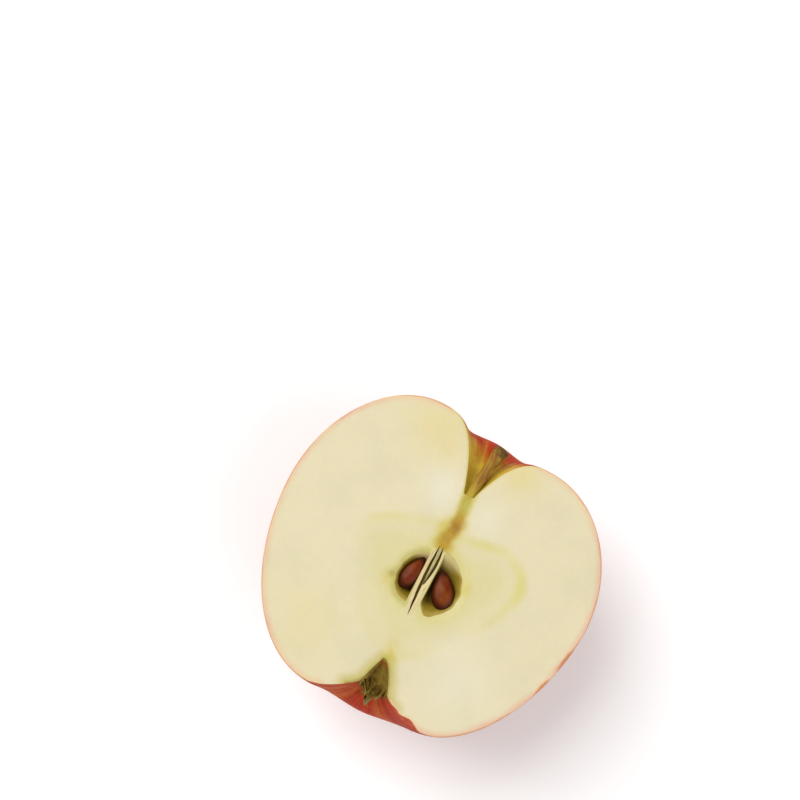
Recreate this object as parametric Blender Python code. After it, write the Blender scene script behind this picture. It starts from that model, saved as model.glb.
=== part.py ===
"""Half an apple, cut from stem to calyx, lying on its round back with the cut face up.

Metres, with +Z up, +Y along the core towards the stem and +X across the cut face. The origin is
the middle of the small flat spot that the half rests on, straight under the line of the core.
"""

import math
from dataclasses import dataclass, fields

import bmesh
import bpy
from mathutils import Matrix, Vector

MM = 0.001


@dataclass(frozen=True)
class Lobe:
    """One meridian of the apple: out is away from the core, up is towards the stem."""

    shoulder_out: float
    shoulder_up: float
    funnel_curl: float
    girth_out: float
    girth_up: float
    upper_fullness: float
    lower_fullness: float
    base_out: float
    base_down: float
    basin_curl: float
    mouth_out: float
    mouth_down: float
    tube_curl: float


LEFT = Lobe(
    shoulder_out=14.7 * MM, shoulder_up=33.6 * MM, funnel_curl=2.9,
    girth_out=37.3 * MM, girth_up=3.4 * MM, upper_fullness=1.95, lower_fullness=1.95,
    base_out=12.8 * MM, base_down=34.8 * MM, basin_curl=1.6,
    mouth_out=3.1 * MM, mouth_down=30.4 * MM, tube_curl=0.9,
)
RIGHT = Lobe(
    shoulder_out=14.0 * MM, shoulder_up=30.9 * MM, funnel_curl=2.9,
    girth_out=36.5 * MM, girth_up=3.8 * MM, upper_fullness=1.97, lower_fullness=1.80,
    base_out=14.2 * MM, base_down=33.2 * MM, basin_curl=2.3,
    mouth_out=4.4 * MM, mouth_down=29.6 * MM, tube_curl=0.6,
)
BACK = Lobe(
    shoulder_out=15.0 * MM, shoulder_up=33.0 * MM, funnel_curl=2.9,
    girth_out=36.9 * MM, girth_up=0.0 * MM, upper_fullness=1.95, lower_fullness=1.92,
    base_out=13.2 * MM, base_down=35.0 * MM, basin_curl=1.9,
    mouth_out=3.7 * MM, mouth_down=30.0 * MM, tube_curl=0.75,
)

FUNNEL_FLOOR_OUT = 1.1 * MM
FUNNEL_FLOOR_UP = 17.6 * MM
CALYX_APEX_DOWN = 22.6 * MM

# Five low ribs run down the fruit. One crest lies mid-back and the cut passes where they are nil.
RIBS = 5
GIRTH_RIB = 0.3 * MM
SHOULDER_RIB = 0.4 * MM
BASE_RIB = 0.2 * MM

REST_SHAVE = 0.35 * MM
CUT_HEIGHT = BACK.girth_out + GIRTH_RIB - REST_SHAVE
FIT_GAP = 0.3 * MM

MERIDIANS = 40
FUNNEL_STEPS = 9
QUARTER_STEPS = 11
BASIN_STEPS = 5
TUBE_STEPS = 5

STEM_FOOT = Vector((0.0 * MM, 15.9 * MM, CUT_HEIGHT - 1.25 * MM))
STEM_TIP = Vector((1.95 * MM, 30.6 * MM, CUT_HEIGHT - 0.6 * MM))
STEM_BOW = Vector((-0.35 * MM, 0.0, -0.2 * MM))
STEM_FOOT_RADIUS = 1.2 * MM
STEM_WAIST_RADIUS = 1.35 * MM
STEM_KNOB_RADIUS = 1.9 * MM
STEM_KNOB_START = 0.72
SOCKET_TOP = 0.42
STEM_SIDES = 14
STEM_RINGS = 14

SLIT_DEPTH = 2.4 * MM
CUTTER_RISE = 1.0 * MM


@dataclass(frozen=True)
class SeedCell:
    """A seed pocket: straight along the core wall, bulging out to one side, bowl-shaped below."""

    wall: float
    side: int
    top: float
    bottom: float
    width: float
    roundness: float
    sag: float
    depth: float


@dataclass(frozen=True)
class Seed:
    """A seed that lies flat in its cell, its pointed end towards the stem."""

    name: str
    middle_x: float
    middle_y: float
    length: float
    width: float
    thickness: float
    lean: float
    sunk: float
    point: float


@dataclass(frozen=True)
class Slit:
    """A narrow gap beside the core line, bowed towards one side."""

    top: tuple
    bottom: tuple
    width: float
    bow: float


CELLS = (
    SeedCell(wall=-1.5 * MM, side=-1, top=1.9 * MM, bottom=-9.8 * MM,
             width=4.9 * MM, roundness=0.85, sag=1.2 * MM, depth=4.4 * MM),
    SeedCell(wall=1.45 * MM, side=1, top=4.2 * MM, bottom=-10.5 * MM,
             width=7.2 * MM, roundness=1.1, sag=1.3 * MM, depth=4.8 * MM),
)
SEEDS = (
    Seed("seed_left", middle_x=-3.8 * MM, middle_y=-3.3 * MM, length=8.2 * MM, width=3.8 * MM,
         thickness=3.1 * MM, lean=math.radians(-12), sunk=0.2 * MM, point=0.4),
    Seed("seed_right", middle_x=4.65 * MM, middle_y=-3.2 * MM, length=8.7 * MM, width=5.0 * MM,
         thickness=3.3 * MM, lean=math.radians(30), sunk=0.1 * MM, point=0.6),
)
SLITS = (
    Slit(top=(-0.55 * MM, 5.1 * MM), bottom=(0.2 * MM, -11.1 * MM), width=0.75 * MM, bow=-0.25 * MM),
    Slit(top=(0.4 * MM, 5.2 * MM), bottom=(0.1 * MM, -4.6 * MM), width=0.6 * MM, bow=0.55 * MM),
)
SEED_SIDES = 16
SEED_RINGS = 12
CELL_STEPS = 18
CELL_STEEPNESS = 0.35
CELL_RINGS = 6
CELL_DEEP_AT = -3.1 * MM
CELL_DEEP_REACH = 4.7 * MM
CELL_END_REACH = 7.7 * MM
CELL_END_DEPTH = 0.35

# The dried calyx lines its tube and opens in five sepals, of which the cut leaves three.
CALYX_WALL = 0.6 * MM
CALYX_TOP_DOWN = 23.6 * MM
SEPAL_LENGTH = 3.0 * MM
SEPAL_FLARE = 0.9 * MM
CALYX_COLUMNS = 26
CALYX_ROWS = 7
CALYX_EDGE = math.radians(4)


def clear_scene():
    """Remove whatever the file opened with."""
    for obj in list(bpy.data.objects):
        bpy.data.objects.remove(obj, do_unlink=True)


def finish_material(name, colour, roughness, metallic=0.0):
    """Make a Principled material of one colour."""
    material = bpy.data.materials.new(name)
    material.use_nodes = True
    shader = material.node_tree.nodes["Principled BSDF"]
    shader.inputs["Base Color"].default_value = (*colour, 1.0)
    shader.inputs["Roughness"].default_value = roughness
    shader.inputs["Metallic"].default_value = metallic
    return material


def mesh_object(name, shape, material=None, smooth_angle=40.0):
    """Turn a bmesh into a named object, shaded smooth up to the given edge angle."""
    bmesh.ops.recalc_face_normals(shape, faces=shape.faces)
    mesh = bpy.data.meshes.new(name)
    shape.to_mesh(mesh)
    shape.free()
    obj = bpy.data.objects.new(name, mesh)
    bpy.context.collection.objects.link(obj)
    mesh.shade_smooth()
    mesh.set_sharp_from_angle(angle=math.radians(smooth_angle))
    if material:
        mesh.materials.append(material)
    return obj


def carve(target, cutter):
    """Cut one object out of another, and mark the first as a cutter."""
    cutter.hide_render = True
    cutter.display_type = "WIRE"
    cut = target.modifiers.new(cutter.name, "BOOLEAN")
    cut.operation = "DIFFERENCE"
    cut.object = cutter


def bridge_rings(shape, rings, closed=True):
    """Join rings of vertices, one after the other, with quads."""
    for near, far in zip(rings, rings[1:]):
        count = len(near)
        for i in range(count if closed else count - 1):
            j = (i + 1) % count
            shape.faces.new((near[i], near[j], far[j], far[i]))


def fan(shape, ring, tip):
    """Close a ring of vertices with triangles that meet at one vertex."""
    for i, vertex in enumerate(ring):
        shape.faces.new((vertex, ring[(i + 1) % len(ring)], tip))


def lobe_at(angle):
    """Blend the three measured lobes at an angle about the core: -180 left, -90 back, 0 right."""
    side = RIGHT if math.cos(angle) > 0 else LEFT
    back_share = math.sin(angle) ** 2
    blended = {
        field.name: (getattr(side, field.name) * (1 - back_share)
                     + getattr(BACK, field.name) * back_share)
        for field in fields(Lobe)
    }
    rib = math.cos(RIBS * (angle + math.pi / 2))
    blended["girth_out"] += GIRTH_RIB * rib
    blended["shoulder_up"] += SHOULDER_RIB * rib
    blended["base_down"] += BASE_RIB * rib
    return Lobe(**blended)


def meridian(lobe):
    """Points (out, up) down one meridian, from the funnel's floor to just short of the apex."""
    points = []
    for i in range(FUNNEL_STEPS):
        share = (i / FUNNEL_STEPS) ** 1.5
        out = FUNNEL_FLOOR_OUT + share * (lobe.shoulder_out - FUNNEL_FLOOR_OUT)
        depth = lobe.shoulder_up - FUNNEL_FLOOR_UP
        points.append((out, lobe.shoulder_up - depth * (1 - share) ** lobe.funnel_curl))
    for i in range(QUARTER_STEPS):
        turn = math.pi / 2 * i / QUARTER_STEPS
        power = 2 / lobe.upper_fullness
        out = lobe.shoulder_out + (lobe.girth_out - lobe.shoulder_out) * math.sin(turn) ** power
        up = lobe.girth_up + (lobe.shoulder_up - lobe.girth_up) * math.cos(turn) ** power
        points.append((out, up))
    for i in range(QUARTER_STEPS):
        turn = math.pi / 2 * i / QUARTER_STEPS
        power = 2 / lobe.lower_fullness
        out = lobe.base_out + (lobe.girth_out - lobe.base_out) * math.cos(turn) ** power
        up = lobe.girth_up - (lobe.girth_up + lobe.base_down) * math.sin(turn) ** power
        points.append((out, up))
    for i in range(BASIN_STEPS):
        share = i / BASIN_STEPS
        out = lobe.base_out + (lobe.mouth_out - lobe.base_out) * share
        rise = (lobe.base_down - lobe.mouth_down) * share ** lobe.basin_curl
        points.append((out, -lobe.base_down + rise))
    for i in range(TUBE_STEPS):
        share = (1 - i / TUBE_STEPS) ** 1.4
        out, up = tube_point(lobe, share)
        points.append((out, up))
    return points


def tube_point(lobe, share):
    """A point (out, up) on the calyx tube: share 0 at its apex and 1 at its mouth."""
    length = lobe.mouth_down - CALYX_APEX_DOWN
    return lobe.mouth_out * share ** lobe.tube_curl, -CALYX_APEX_DOWN - length * share


def around_core(out, up, angle):
    """Place a point of a meridian at its angle about the core line."""
    return Vector((out * math.cos(angle), up, CUT_HEIGHT + out * math.sin(angle)))


def make_half():
    """The half fruit before anything is cut into it: round back, cut face, funnel and basin."""
    shape = bmesh.new()
    columns = []
    for j in range(MERIDIANS + 1):
        angle = math.pi * (j / MERIDIANS - 1)
        column = [shape.verts.new(around_core(out, up, angle)) for out, up in meridian(lobe_at(angle))]
        if j in (0, MERIDIANS):
            for vertex in column:
                vertex.co.z = CUT_HEIGHT
        columns.append(column)
    stem_pole = shape.verts.new((0, FUNNEL_FLOOR_UP, CUT_HEIGHT))
    calyx_pole = shape.verts.new((0, -CALYX_APEX_DOWN, CUT_HEIGHT))
    bridge_rings(shape, columns, closed=False)
    for near, far in zip(columns, columns[1:]):
        shape.faces.new((stem_pole, far[0], near[0]))
        shape.faces.new((calyx_pole, near[-1], far[-1]))
    shape.faces.new([stem_pole, *columns[0], calyx_pole, *reversed(columns[-1])])
    flesh = finish_material("apple_flesh", (0.80, 0.72, 0.46), 0.45)
    return mesh_object("flesh", shape, flesh)


def cell_outline(cell, scale):
    """The pocket's outline, shrunk towards the middle of its straight wall by a scale."""
    middle = (cell.top + cell.bottom) / 2
    half = (cell.top - cell.bottom) / 2
    centre_x = cell.wall + cell.side * cell.width * 0.45
    points = []
    for i in range(CELL_STEPS + 1):
        turn = math.pi * i / CELL_STEPS
        x = cell.wall + cell.side * cell.width * max(0.0, math.sin(turn)) ** cell.roundness
        y = middle + half * math.cos(turn) - cell.sag * math.sin(turn) ** 2
        points.append((centre_x + (x - centre_x) * scale, middle + (y - middle) * scale))
    return points


def cell_depth(cell, y):
    """The pocket's depth at a height on the cut: full by the seed and shallow at both ends."""
    end = (abs(y - CELL_DEEP_AT) - CELL_DEEP_REACH) / (CELL_END_REACH - CELL_DEEP_REACH)
    end = min(max(end, 0.0), 1.0)
    return cell.depth * (1 - (1 - CELL_END_DEPTH) * end * end * (3 - 2 * end))


def make_cell_cutter(cell, name):
    """A cutter as deep as the seed pocket, with a bowl-shaped floor."""
    shape = bmesh.new()
    top = [shape.verts.new((x, y, CUT_HEIGHT + CUTTER_RISE)) for x, y in cell_outline(cell, 1.0)]
    rings = [top]
    for i in range(CELL_RINGS):
        turn = math.pi / 2 * i / CELL_RINGS
        scale, down = math.cos(turn) ** CELL_STEEPNESS, math.sin(turn)
        rings.append([
            shape.verts.new((x, y, CUT_HEIGHT - cell_depth(cell, y) * down))
            for x, y in cell_outline(cell, scale)
        ])
    bridge_rings(shape, rings)
    shape.faces.new(rings[0])
    middle_x = cell.wall + cell.side * cell.width * 0.45
    middle_y = (cell.top + cell.bottom) / 2
    fan(shape, rings[-1], shape.verts.new((middle_x, middle_y, CUT_HEIGHT - cell.depth)))
    return mesh_object(name, shape)


def make_slit_cutter(slit, name):
    """A cutter shaped like a thin bowed leaf on edge, narrowing as it goes down."""
    shape = bmesh.new()
    top, bottom = Vector(slit.top), Vector(slit.bottom)
    across = Vector((1, 0))
    steps = 10
    rims = []
    for height, share in ((CUTTER_RISE, 1.0), (0.0, 1.0), (-SLIT_DEPTH, 0.4)):
        right, left = [], []
        for i in range(1, steps):
            along = i / steps
            middle = top.lerp(bottom, along) + across * slit.bow * math.sin(math.pi * along)
            half_width = slit.width / 2 * share * math.sin(math.pi * along) ** 0.7
            right.append(middle + across * half_width)
            left.append(middle - across * half_width)
        outline = [top, *right, bottom, *reversed(left)]
        rims.append([shape.verts.new((p.x, p.y, CUT_HEIGHT + height)) for p in outline])
    bridge_rings(shape, rims)
    shape.faces.new(rims[0])
    shape.faces.new(rims[-1])
    return mesh_object(name, shape)


def stem_axis(share):
    """A point on the stem's bowed centre line: 0 at its foot and 1 at its scar."""
    return STEM_FOOT.lerp(STEM_TIP, share) + STEM_BOW * math.sin(math.pi * share)


def stem_radius(share):
    """The stem's radius, which swells to a knob where the stem parted from the twig."""
    radius = STEM_FOOT_RADIUS + (STEM_WAIST_RADIUS - STEM_FOOT_RADIUS) * min(1, share / STEM_KNOB_START)
    if share > STEM_KNOB_START:
        swell = (share - STEM_KNOB_START) / (1 - STEM_KNOB_START)
        swell = swell * swell * (3 - 2 * swell)
        radius += (STEM_KNOB_RADIUS - STEM_WAIST_RADIUS) * swell
    return radius


def stem_solid(name, start, end, grow, material=None):
    """A round solid along the stem's centre line, thicker than the stem by a margin."""
    shape = bmesh.new()
    rings = []
    for i in range(STEM_RINGS + 1):
        share = start + (end - start) * i / STEM_RINGS
        middle = stem_axis(share)
        along = (stem_axis(share + 0.01) - stem_axis(share - 0.01)).normalized()
        across = along.cross(Vector((0, 0, 1))).normalized()
        upright = across.cross(along)
        radius = stem_radius(min(max(share, 0), 1)) + grow
        ring = []
        for k in range(STEM_SIDES):
            turn = 2 * math.pi * k / STEM_SIDES
            spoke = across * math.cos(turn) + upright * math.sin(turn)
            ring.append(shape.verts.new(middle + spoke * radius))
        rings.append(ring)
    bridge_rings(shape, rings)
    shape.faces.new(rings[0])
    shape.faces.new(rings[-1])
    return mesh_object(name, shape, material)


def make_stem():
    """The whole stem, its foot sunk in the bottom of the funnel."""
    bark = finish_material("stem_bark", (0.20, 0.12, 0.03), 0.6)
    return stem_solid("stem", 0.0, 1.0, 0.0, bark)


def make_socket_cutter():
    """The stem's hole in the flesh, a fitting gap wider and deeper than the stem."""
    foot_share = FIT_GAP / (STEM_TIP - STEM_FOOT).length
    return stem_solid("socket_cutter", -foot_share, SOCKET_TOP, FIT_GAP)


def make_seed(seed, material):
    """A drop-shaped seed with its point towards the stem, laid flat just under the cut."""
    shape = bmesh.new()
    widest = 2 * math.atan(math.sqrt(1 + seed.point))
    peak = math.sin(widest) * math.sin(widest / 2) ** seed.point
    tip = shape.verts.new((0, seed.length / 2, 0))
    heel = shape.verts.new((0, -seed.length / 2, 0))
    rings = []
    for i in range(1, SEED_RINGS):
        turn = math.pi * i / SEED_RINGS
        swell = math.sin(turn) * math.sin(turn / 2) ** seed.point / peak
        ring = []
        for k in range(SEED_SIDES):
            round_turn = 2 * math.pi * k / SEED_SIDES
            x = seed.width / 2 * swell * math.cos(round_turn)
            z = seed.thickness / 2 * swell * math.sin(round_turn)
            ring.append(shape.verts.new((x, seed.length / 2 * math.cos(turn), z)))
        rings.append(ring)
    bridge_rings(shape, rings)
    fan(shape, rings[0], tip)
    fan(shape, rings[-1], heel)
    lean = Matrix.Rotation(seed.lean, 4, "Z")
    bmesh.ops.transform(shape, matrix=lean, verts=shape.verts)
    obj = mesh_object(seed.name, shape, material)
    obj.location = (seed.middle_x, seed.middle_y, CUT_HEIGHT - seed.sunk - seed.thickness / 2)
    return obj


def calyx_point(angle, share, inset):
    """A point on the calyx: share 0 at the top of its cup, 1 at the tip of its sepals."""
    lobe = lobe_at(angle)
    sepal = abs(math.cos(RIBS / 2 * (angle + math.pi / 2))) ** 0.8
    cup = lobe.mouth_down - CALYX_TOP_DOWN
    reach = share * (cup + SEPAL_LENGTH * sepal)
    down = CALYX_TOP_DOWN + reach
    along_tube = min(1.0, (down - CALYX_APEX_DOWN) / (lobe.mouth_down - CALYX_APEX_DOWN))
    out = tube_point(lobe, along_tube)[0] - FIT_GAP - inset
    past_mouth = max(0.0, reach - cup) / SEPAL_LENGTH
    out += SEPAL_FLARE * past_mouth ** 1.5
    return around_core(max(out, 0.15 * MM), -down, angle)


def make_calyx():
    """The dried calyx: a thin cup inside its tube, with its sepals standing in the basin."""
    shape = bmesh.new()
    skins = []
    for inset in (0.0, CALYX_WALL):
        columns = []
        for j in range(CALYX_COLUMNS + 1):
            angle = -CALYX_EDGE - (math.pi - 2 * CALYX_EDGE) * (1 - j / CALYX_COLUMNS)
            columns.append([
                shape.verts.new(calyx_point(angle, (i + 0.2) / (CALYX_ROWS + 0.2), inset))
                for i in range(CALYX_ROWS + 1)
            ])
        bridge_rings(shape, columns, closed=False)
        skins.append(columns)
    outer, inner = skins
    for near, far in ((outer[0], inner[0]), (outer[-1], inner[-1])):
        bridge_rings(shape, [near, far], closed=False)
    for row in (0, -1):
        edge = [[column[row] for column in skin] for skin in (outer, inner)]
        bridge_rings(shape, edge, closed=False)
    dry = finish_material("dried_calyx", (0.16, 0.11, 0.03), 0.8)
    return mesh_object("calyx", shape, dry)


def make_rest_cutter():
    """A slab that shaves the lowest bit of the back flat, level with the ground."""
    shape = bmesh.new()
    slab = 60 * MM
    bmesh.ops.create_cube(shape, size=1.0)
    bmesh.ops.scale(shape, vec=(slab, slab, 4 * MM), verts=shape.verts)
    bmesh.ops.translate(shape, vec=(0, 0, -2 * MM), verts=shape.verts)
    return mesh_object("rest_cutter", shape)


def main():
    """Build the half apple."""
    clear_scene()
    flesh = make_half()
    carve(flesh, make_rest_cutter())
    carve(flesh, make_socket_cutter())
    for number, cell in enumerate(CELLS, 1):
        carve(flesh, make_cell_cutter(cell, f"cell_cutter_{number}"))
    for number, slit in enumerate(SLITS, 1):
        carve(flesh, make_slit_cutter(slit, f"slit_cutter_{number}"))
    make_stem()
    seed_coat = finish_material("seed_coat", (0.17, 0.05, 0.015), 0.3)
    for seed in SEEDS:
        make_seed(seed, seed_coat)
    make_calyx()


main()
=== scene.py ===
"""The looks of half an apple that lies on its round back with the cut face up.

Cream flesh with its core, a red-streaked skin, a woody stem, two glossy seeds and the dried calyx.
Sizes are in millimetres in the classes below and are turned into metres as meshes are made.
"""

from __future__ import annotations

import logging
import math
from dataclasses import dataclass, field, fields
from enum import Enum
from typing import Sequence

import bmesh
import bpy
import numpy as np
from bpy.types import Material, Mesh, NodeSocket, NodeTree, Object
from mathutils import Matrix, Vector, geometry, noise

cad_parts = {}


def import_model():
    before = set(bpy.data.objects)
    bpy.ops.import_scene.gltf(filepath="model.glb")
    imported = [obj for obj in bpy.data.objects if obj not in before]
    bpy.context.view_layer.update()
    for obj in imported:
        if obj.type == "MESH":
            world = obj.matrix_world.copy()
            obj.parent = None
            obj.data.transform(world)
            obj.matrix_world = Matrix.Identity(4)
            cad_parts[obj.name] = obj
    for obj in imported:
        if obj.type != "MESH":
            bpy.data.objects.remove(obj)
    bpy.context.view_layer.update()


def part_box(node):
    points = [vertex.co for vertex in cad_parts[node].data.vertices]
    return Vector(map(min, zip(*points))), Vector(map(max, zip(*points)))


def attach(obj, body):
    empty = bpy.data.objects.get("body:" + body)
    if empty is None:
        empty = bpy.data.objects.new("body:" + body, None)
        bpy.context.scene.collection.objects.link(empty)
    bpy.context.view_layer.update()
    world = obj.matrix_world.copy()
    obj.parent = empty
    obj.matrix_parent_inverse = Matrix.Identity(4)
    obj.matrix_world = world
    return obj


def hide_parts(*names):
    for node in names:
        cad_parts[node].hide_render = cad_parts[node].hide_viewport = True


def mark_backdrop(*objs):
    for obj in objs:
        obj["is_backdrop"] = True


LOG = logging.getLogger("apple_half")
MM = 0.001
BODY = "root"

Colour = tuple[float, float, float]
Point = tuple[float, float]
Place = tuple[float, float, float]
Spot = tuple[float, float, float, float]


class Slot(Enum):
    """The record's material slots."""

    FLESH = "flesh"
    STEM = "stem"
    SEED = "seed"
    CALYX = "calyx"


class Zone(Enum):
    """The surfaces of the half, in the order of its material slots."""

    SKIN = 0
    FLESH = 1
    LINING = 2


def srgb(red: int, green: int, blue: int) -> Colour:
    """Turn a screen colour from 0 to 255 into the linear one that shaders take.

    Args:
        red: the screen's red.
        green: the screen's green.
        blue: the screen's blue.

    Returns:
        The colour as three linear numbers from 0 to 1.
    """
    shares = (value / 255 for value in (red, green, blue))
    return tuple(s / 12.92 if s <= 0.04045 else ((s + 0.055) / 1.055) ** 2.4 for s in shares)


def smooth_step(low: float, high: float, value: float) -> float:
    """Rise smoothly from 0 at low to 1 at high.

    Args:
        low: the value where the rise starts.
        high: the value where it ends.
        value: the value to judge.

    Returns:
        A share from 0 to 1.
    """
    share = min(max((value - low) / (high - low), 0.0), 1.0)
    return share * share * (3 - 2 * share)


def smooth_path(knots: Sequence[Sequence[float]], count: int) -> np.ndarray:
    """Draw a smooth curve through a few points.

    Args:
        knots: the points that the curve passes.
        count: how many points to return.

    Returns:
        The curve as an array with one row for each point.
    """
    points = np.array(knots, float)
    ends = np.vstack([2 * points[0] - points[1], points, 2 * points[-1] - points[-2]])
    rows = []
    for place in np.linspace(0, len(points) - 1, count):
        i = min(int(place), len(points) - 2)
        t = place - i
        before, start, end, after = ends[i:i + 4]
        rows.append(0.5 * (2 * start + (end - before) * t
                           + (2 * before - 5 * start + 4 * end - after) * t ** 2
                           + (3 * start - before - 3 * end + after) * t ** 3))
    return np.array(rows)


def distance_to(places: np.ndarray, path: np.ndarray, closed: bool = False) -> np.ndarray:
    """Measure how far places on the cut face are from a line drawn on it.

    Args:
        places: the places, one row each.
        path: the line's points, one row each.
        closed: whether the line returns to its start.

    Returns:
        One distance for each place.
    """
    ends = np.roll(path, -1, axis=0) if closed else path[1:]
    starts = path if closed else path[:-1]
    nearest = np.full(len(places), np.inf)
    for start, end in zip(starts, ends):
        run = end - start
        share = np.clip((places - start) @ run / max(run @ run, 1e-12), 0, 1)
        gap = places - start - share[:, None] * run
        nearest = np.minimum(nearest, np.hypot(gap[:, 0], gap[:, 1]))
    return nearest


def inside(places: np.ndarray, outline: np.ndarray) -> np.ndarray:
    """Tell which places lie within a closed outline.

    Args:
        places: the places, one row each.
        outline: the outline's points, one row each.

    Returns:
        True or False for each place.
    """
    held = np.zeros(len(places), bool)
    for (x0, y0), (x1, y1) in zip(outline, np.roll(outline, -1, axis=0)):
        if y0 == y1:
            continue
        spans = (y0 > places[:, 1]) != (y1 > places[:, 1])
        crossing = x0 + (places[:, 1] - y0) * (x1 - x0) / (y1 - y0)
        held ^= spans & (places[:, 0] < crossing)
    return held


@dataclass(frozen=True)
class Ramp:
    """How a share follows a number: at_low up to low, at_high from high on, smooth between."""

    low: float
    high: float
    at_low: float = 0.0
    at_high: float = 1.0
    smooth: bool = True


@dataclass(frozen=True)
class Grain:
    """A noise pattern: its scale per metre, its detail and how it is drawn out along the core."""

    scale: float
    detail: float = 3.0
    roughness: float = 0.5
    distortion: float = 0.0
    stretch: float = 1.0


@dataclass(frozen=True)
class Relief:
    """Fine relief: its strength, and its depth in mm."""

    strength: float
    depth: float


HALVES = Ramp(0.35, 0.65)


class Tree:
    """A node tree written in few words: given sockets are linked and given values are set."""

    def __init__(self, tree: NodeTree) -> None:
        """Keep the tree to write in."""
        self.tree = tree

    def feed(self, socket: NodeSocket, value: object) -> None:
        """Link a socket to another, or set its value.

        Args:
            socket: the input to feed.
            value: a socket to link from, or a plain value.
        """
        if isinstance(value, NodeSocket):
            self.tree.links.new(value, socket)
        elif socket.type == "RGBA" and len(value) == 3:
            socket.default_value = (*value, 1.0)
        else:
            socket.default_value = value

    def put(self, kind: str, inputs: dict | None = None, out: int | str = 0,
            **settings: object) -> NodeSocket:
        """Add a node.

        Args:
            kind: the node's type.
            inputs: what to feed into its inputs, by their name or number.
            out: the output to return, by its name or number.
            **settings: the node's own properties.

        Returns:
            The chosen output socket.
        """
        node = self.tree.nodes.new(kind)
        for name, value in settings.items():
            setattr(node, name, value)
        for key, value in (inputs or {}).items():
            self.feed(node.inputs[key], value)
        return node.outputs[out]

    def math(self, operation: str, first: object, second: object = 0.0,
             clamp: bool = False) -> NodeSocket:
        """Work out a number from two others."""
        return self.put("ShaderNodeMath", {0: first, 1: second}, operation=operation,
                        use_clamp=clamp)

    def plus(self, first: object, second: object) -> NodeSocket:
        """Add two numbers."""
        return self.math("ADD", first, second)

    def minus(self, first: object, second: object) -> NodeSocket:
        """Take the second number from the first."""
        return self.math("SUBTRACT", first, second)

    def times(self, first: object, second: object) -> NodeSocket:
        """Multiply two numbers."""
        return self.math("MULTIPLY", first, second)

    def sway(self, value: object, reach: float) -> NodeSocket:
        """Turn a noise, which runs from 0 to 1, into a number that sways about 0."""
        return self.times(self.minus(value, 0.5), reach)

    def vector(self, operation: str, first: object, second: object) -> NodeSocket:
        """Work out a vector from two others."""
        return self.put("ShaderNodeVectorMath", {0: first, 1: second}, operation=operation)

    def scaled(self, vector: object, factor: object) -> NodeSocket:
        """Scale a vector by a number."""
        return self.put("ShaderNodeVectorMath", {0: vector, "Scale": factor}, operation="SCALE")

    def noise(self, place: object, grain: Grain) -> NodeSocket:
        """Give a smooth random number from 0 to 1 that depends on the place.

        Args:
            place: where to read the pattern.
            grain: the pattern.

        Returns:
            The number.
        """
        if grain.stretch != 1.0:
            place = self.vector("MULTIPLY", place, (1.0, grain.stretch, 1.0))
        return self.put("ShaderNodeTexNoise", {
            "Vector": place, "Scale": grain.scale, "Detail": grain.detail,
            "Roughness": grain.roughness, "Distortion": grain.distortion})

    def ramp(self, value: object, ramp: Ramp) -> NodeSocket:
        """Turn a number into a share."""
        return self.put("ShaderNodeMapRange",
                        {0: value, 1: ramp.low, 2: ramp.high, 3: ramp.at_low, 4: ramp.at_high},
                        interpolation_type="SMOOTHSTEP" if ramp.smooth else "LINEAR")

    def mix(self, share: object, first: object, second: object) -> NodeSocket:
        """Mix two colours by a share."""
        return self.put("ShaderNodeMix", {0: share, 6: first, 7: second}, out=2,
                        data_type="RGBA")


class Shader(Tree):
    """A material with a Principled shader, ready for its patterns."""

    def __init__(self, name: str, ground: Colour) -> None:
        """Make the material and find its shader.

        Args:
            name: the material's name.
            ground: the colour that all others are laid over.
        """
        self.material = bpy.data.materials.new(name)
        self.material.use_nodes = True
        super().__init__(self.material.node_tree)
        self.surface = self.tree.nodes["Principled BSDF"]
        self.place = self.put("ShaderNodeTexCoord", out="Object")
        self.colour: object = ground

    def mark(self, name: str) -> NodeSocket:
        """Read a number that the mesh carries."""
        return self.put("ShaderNodeAttribute", out="Fac", attribute_name=name)

    def wrap(self, name: str) -> NodeSocket:
        """Read a place that the mesh carries."""
        return self.put("ShaderNodeAttribute", out="Vector", attribute_name=name)

    def cover(self, share: object, tint: object) -> None:
        """Lay a tint over the colour so far, by a share."""
        self.colour = self.mix(share, self.colour, tint)

    def paint(self, value: object, ramp: Ramp, tint: object) -> None:
        """Lay a tint over the colour so far, by a share that follows a number."""
        self.cover(self.ramp(value, ramp), tint)

    def bump(self, height: object, relief: Relief, under: object = None) -> NodeSocket:
        """Raise fine relief on top of any relief given.

        Args:
            height: the pattern to raise.
            relief: how strong and how deep it is.
            under: relief that lies below it.

        Returns:
            The surface's direction, for the shader.
        """
        inputs = {"Height": height, "Strength": relief.strength, "Distance": relief.depth * MM}
        if under is not None:
            inputs["Normal"] = under
        return self.put("ShaderNodeBump", inputs)

    def dress(self, **sockets: object) -> Material:
        """Feed the colour and the shader's own sockets, with underscores for spaces in names.

        Args:
            **sockets: what to feed into each.

        Returns:
            The finished material.
        """
        for name, value in {"Base_Color": self.colour, **sockets}.items():
            self.feed(self.surface.inputs[name.replace("_", " ")], value)
        return self.material


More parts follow.
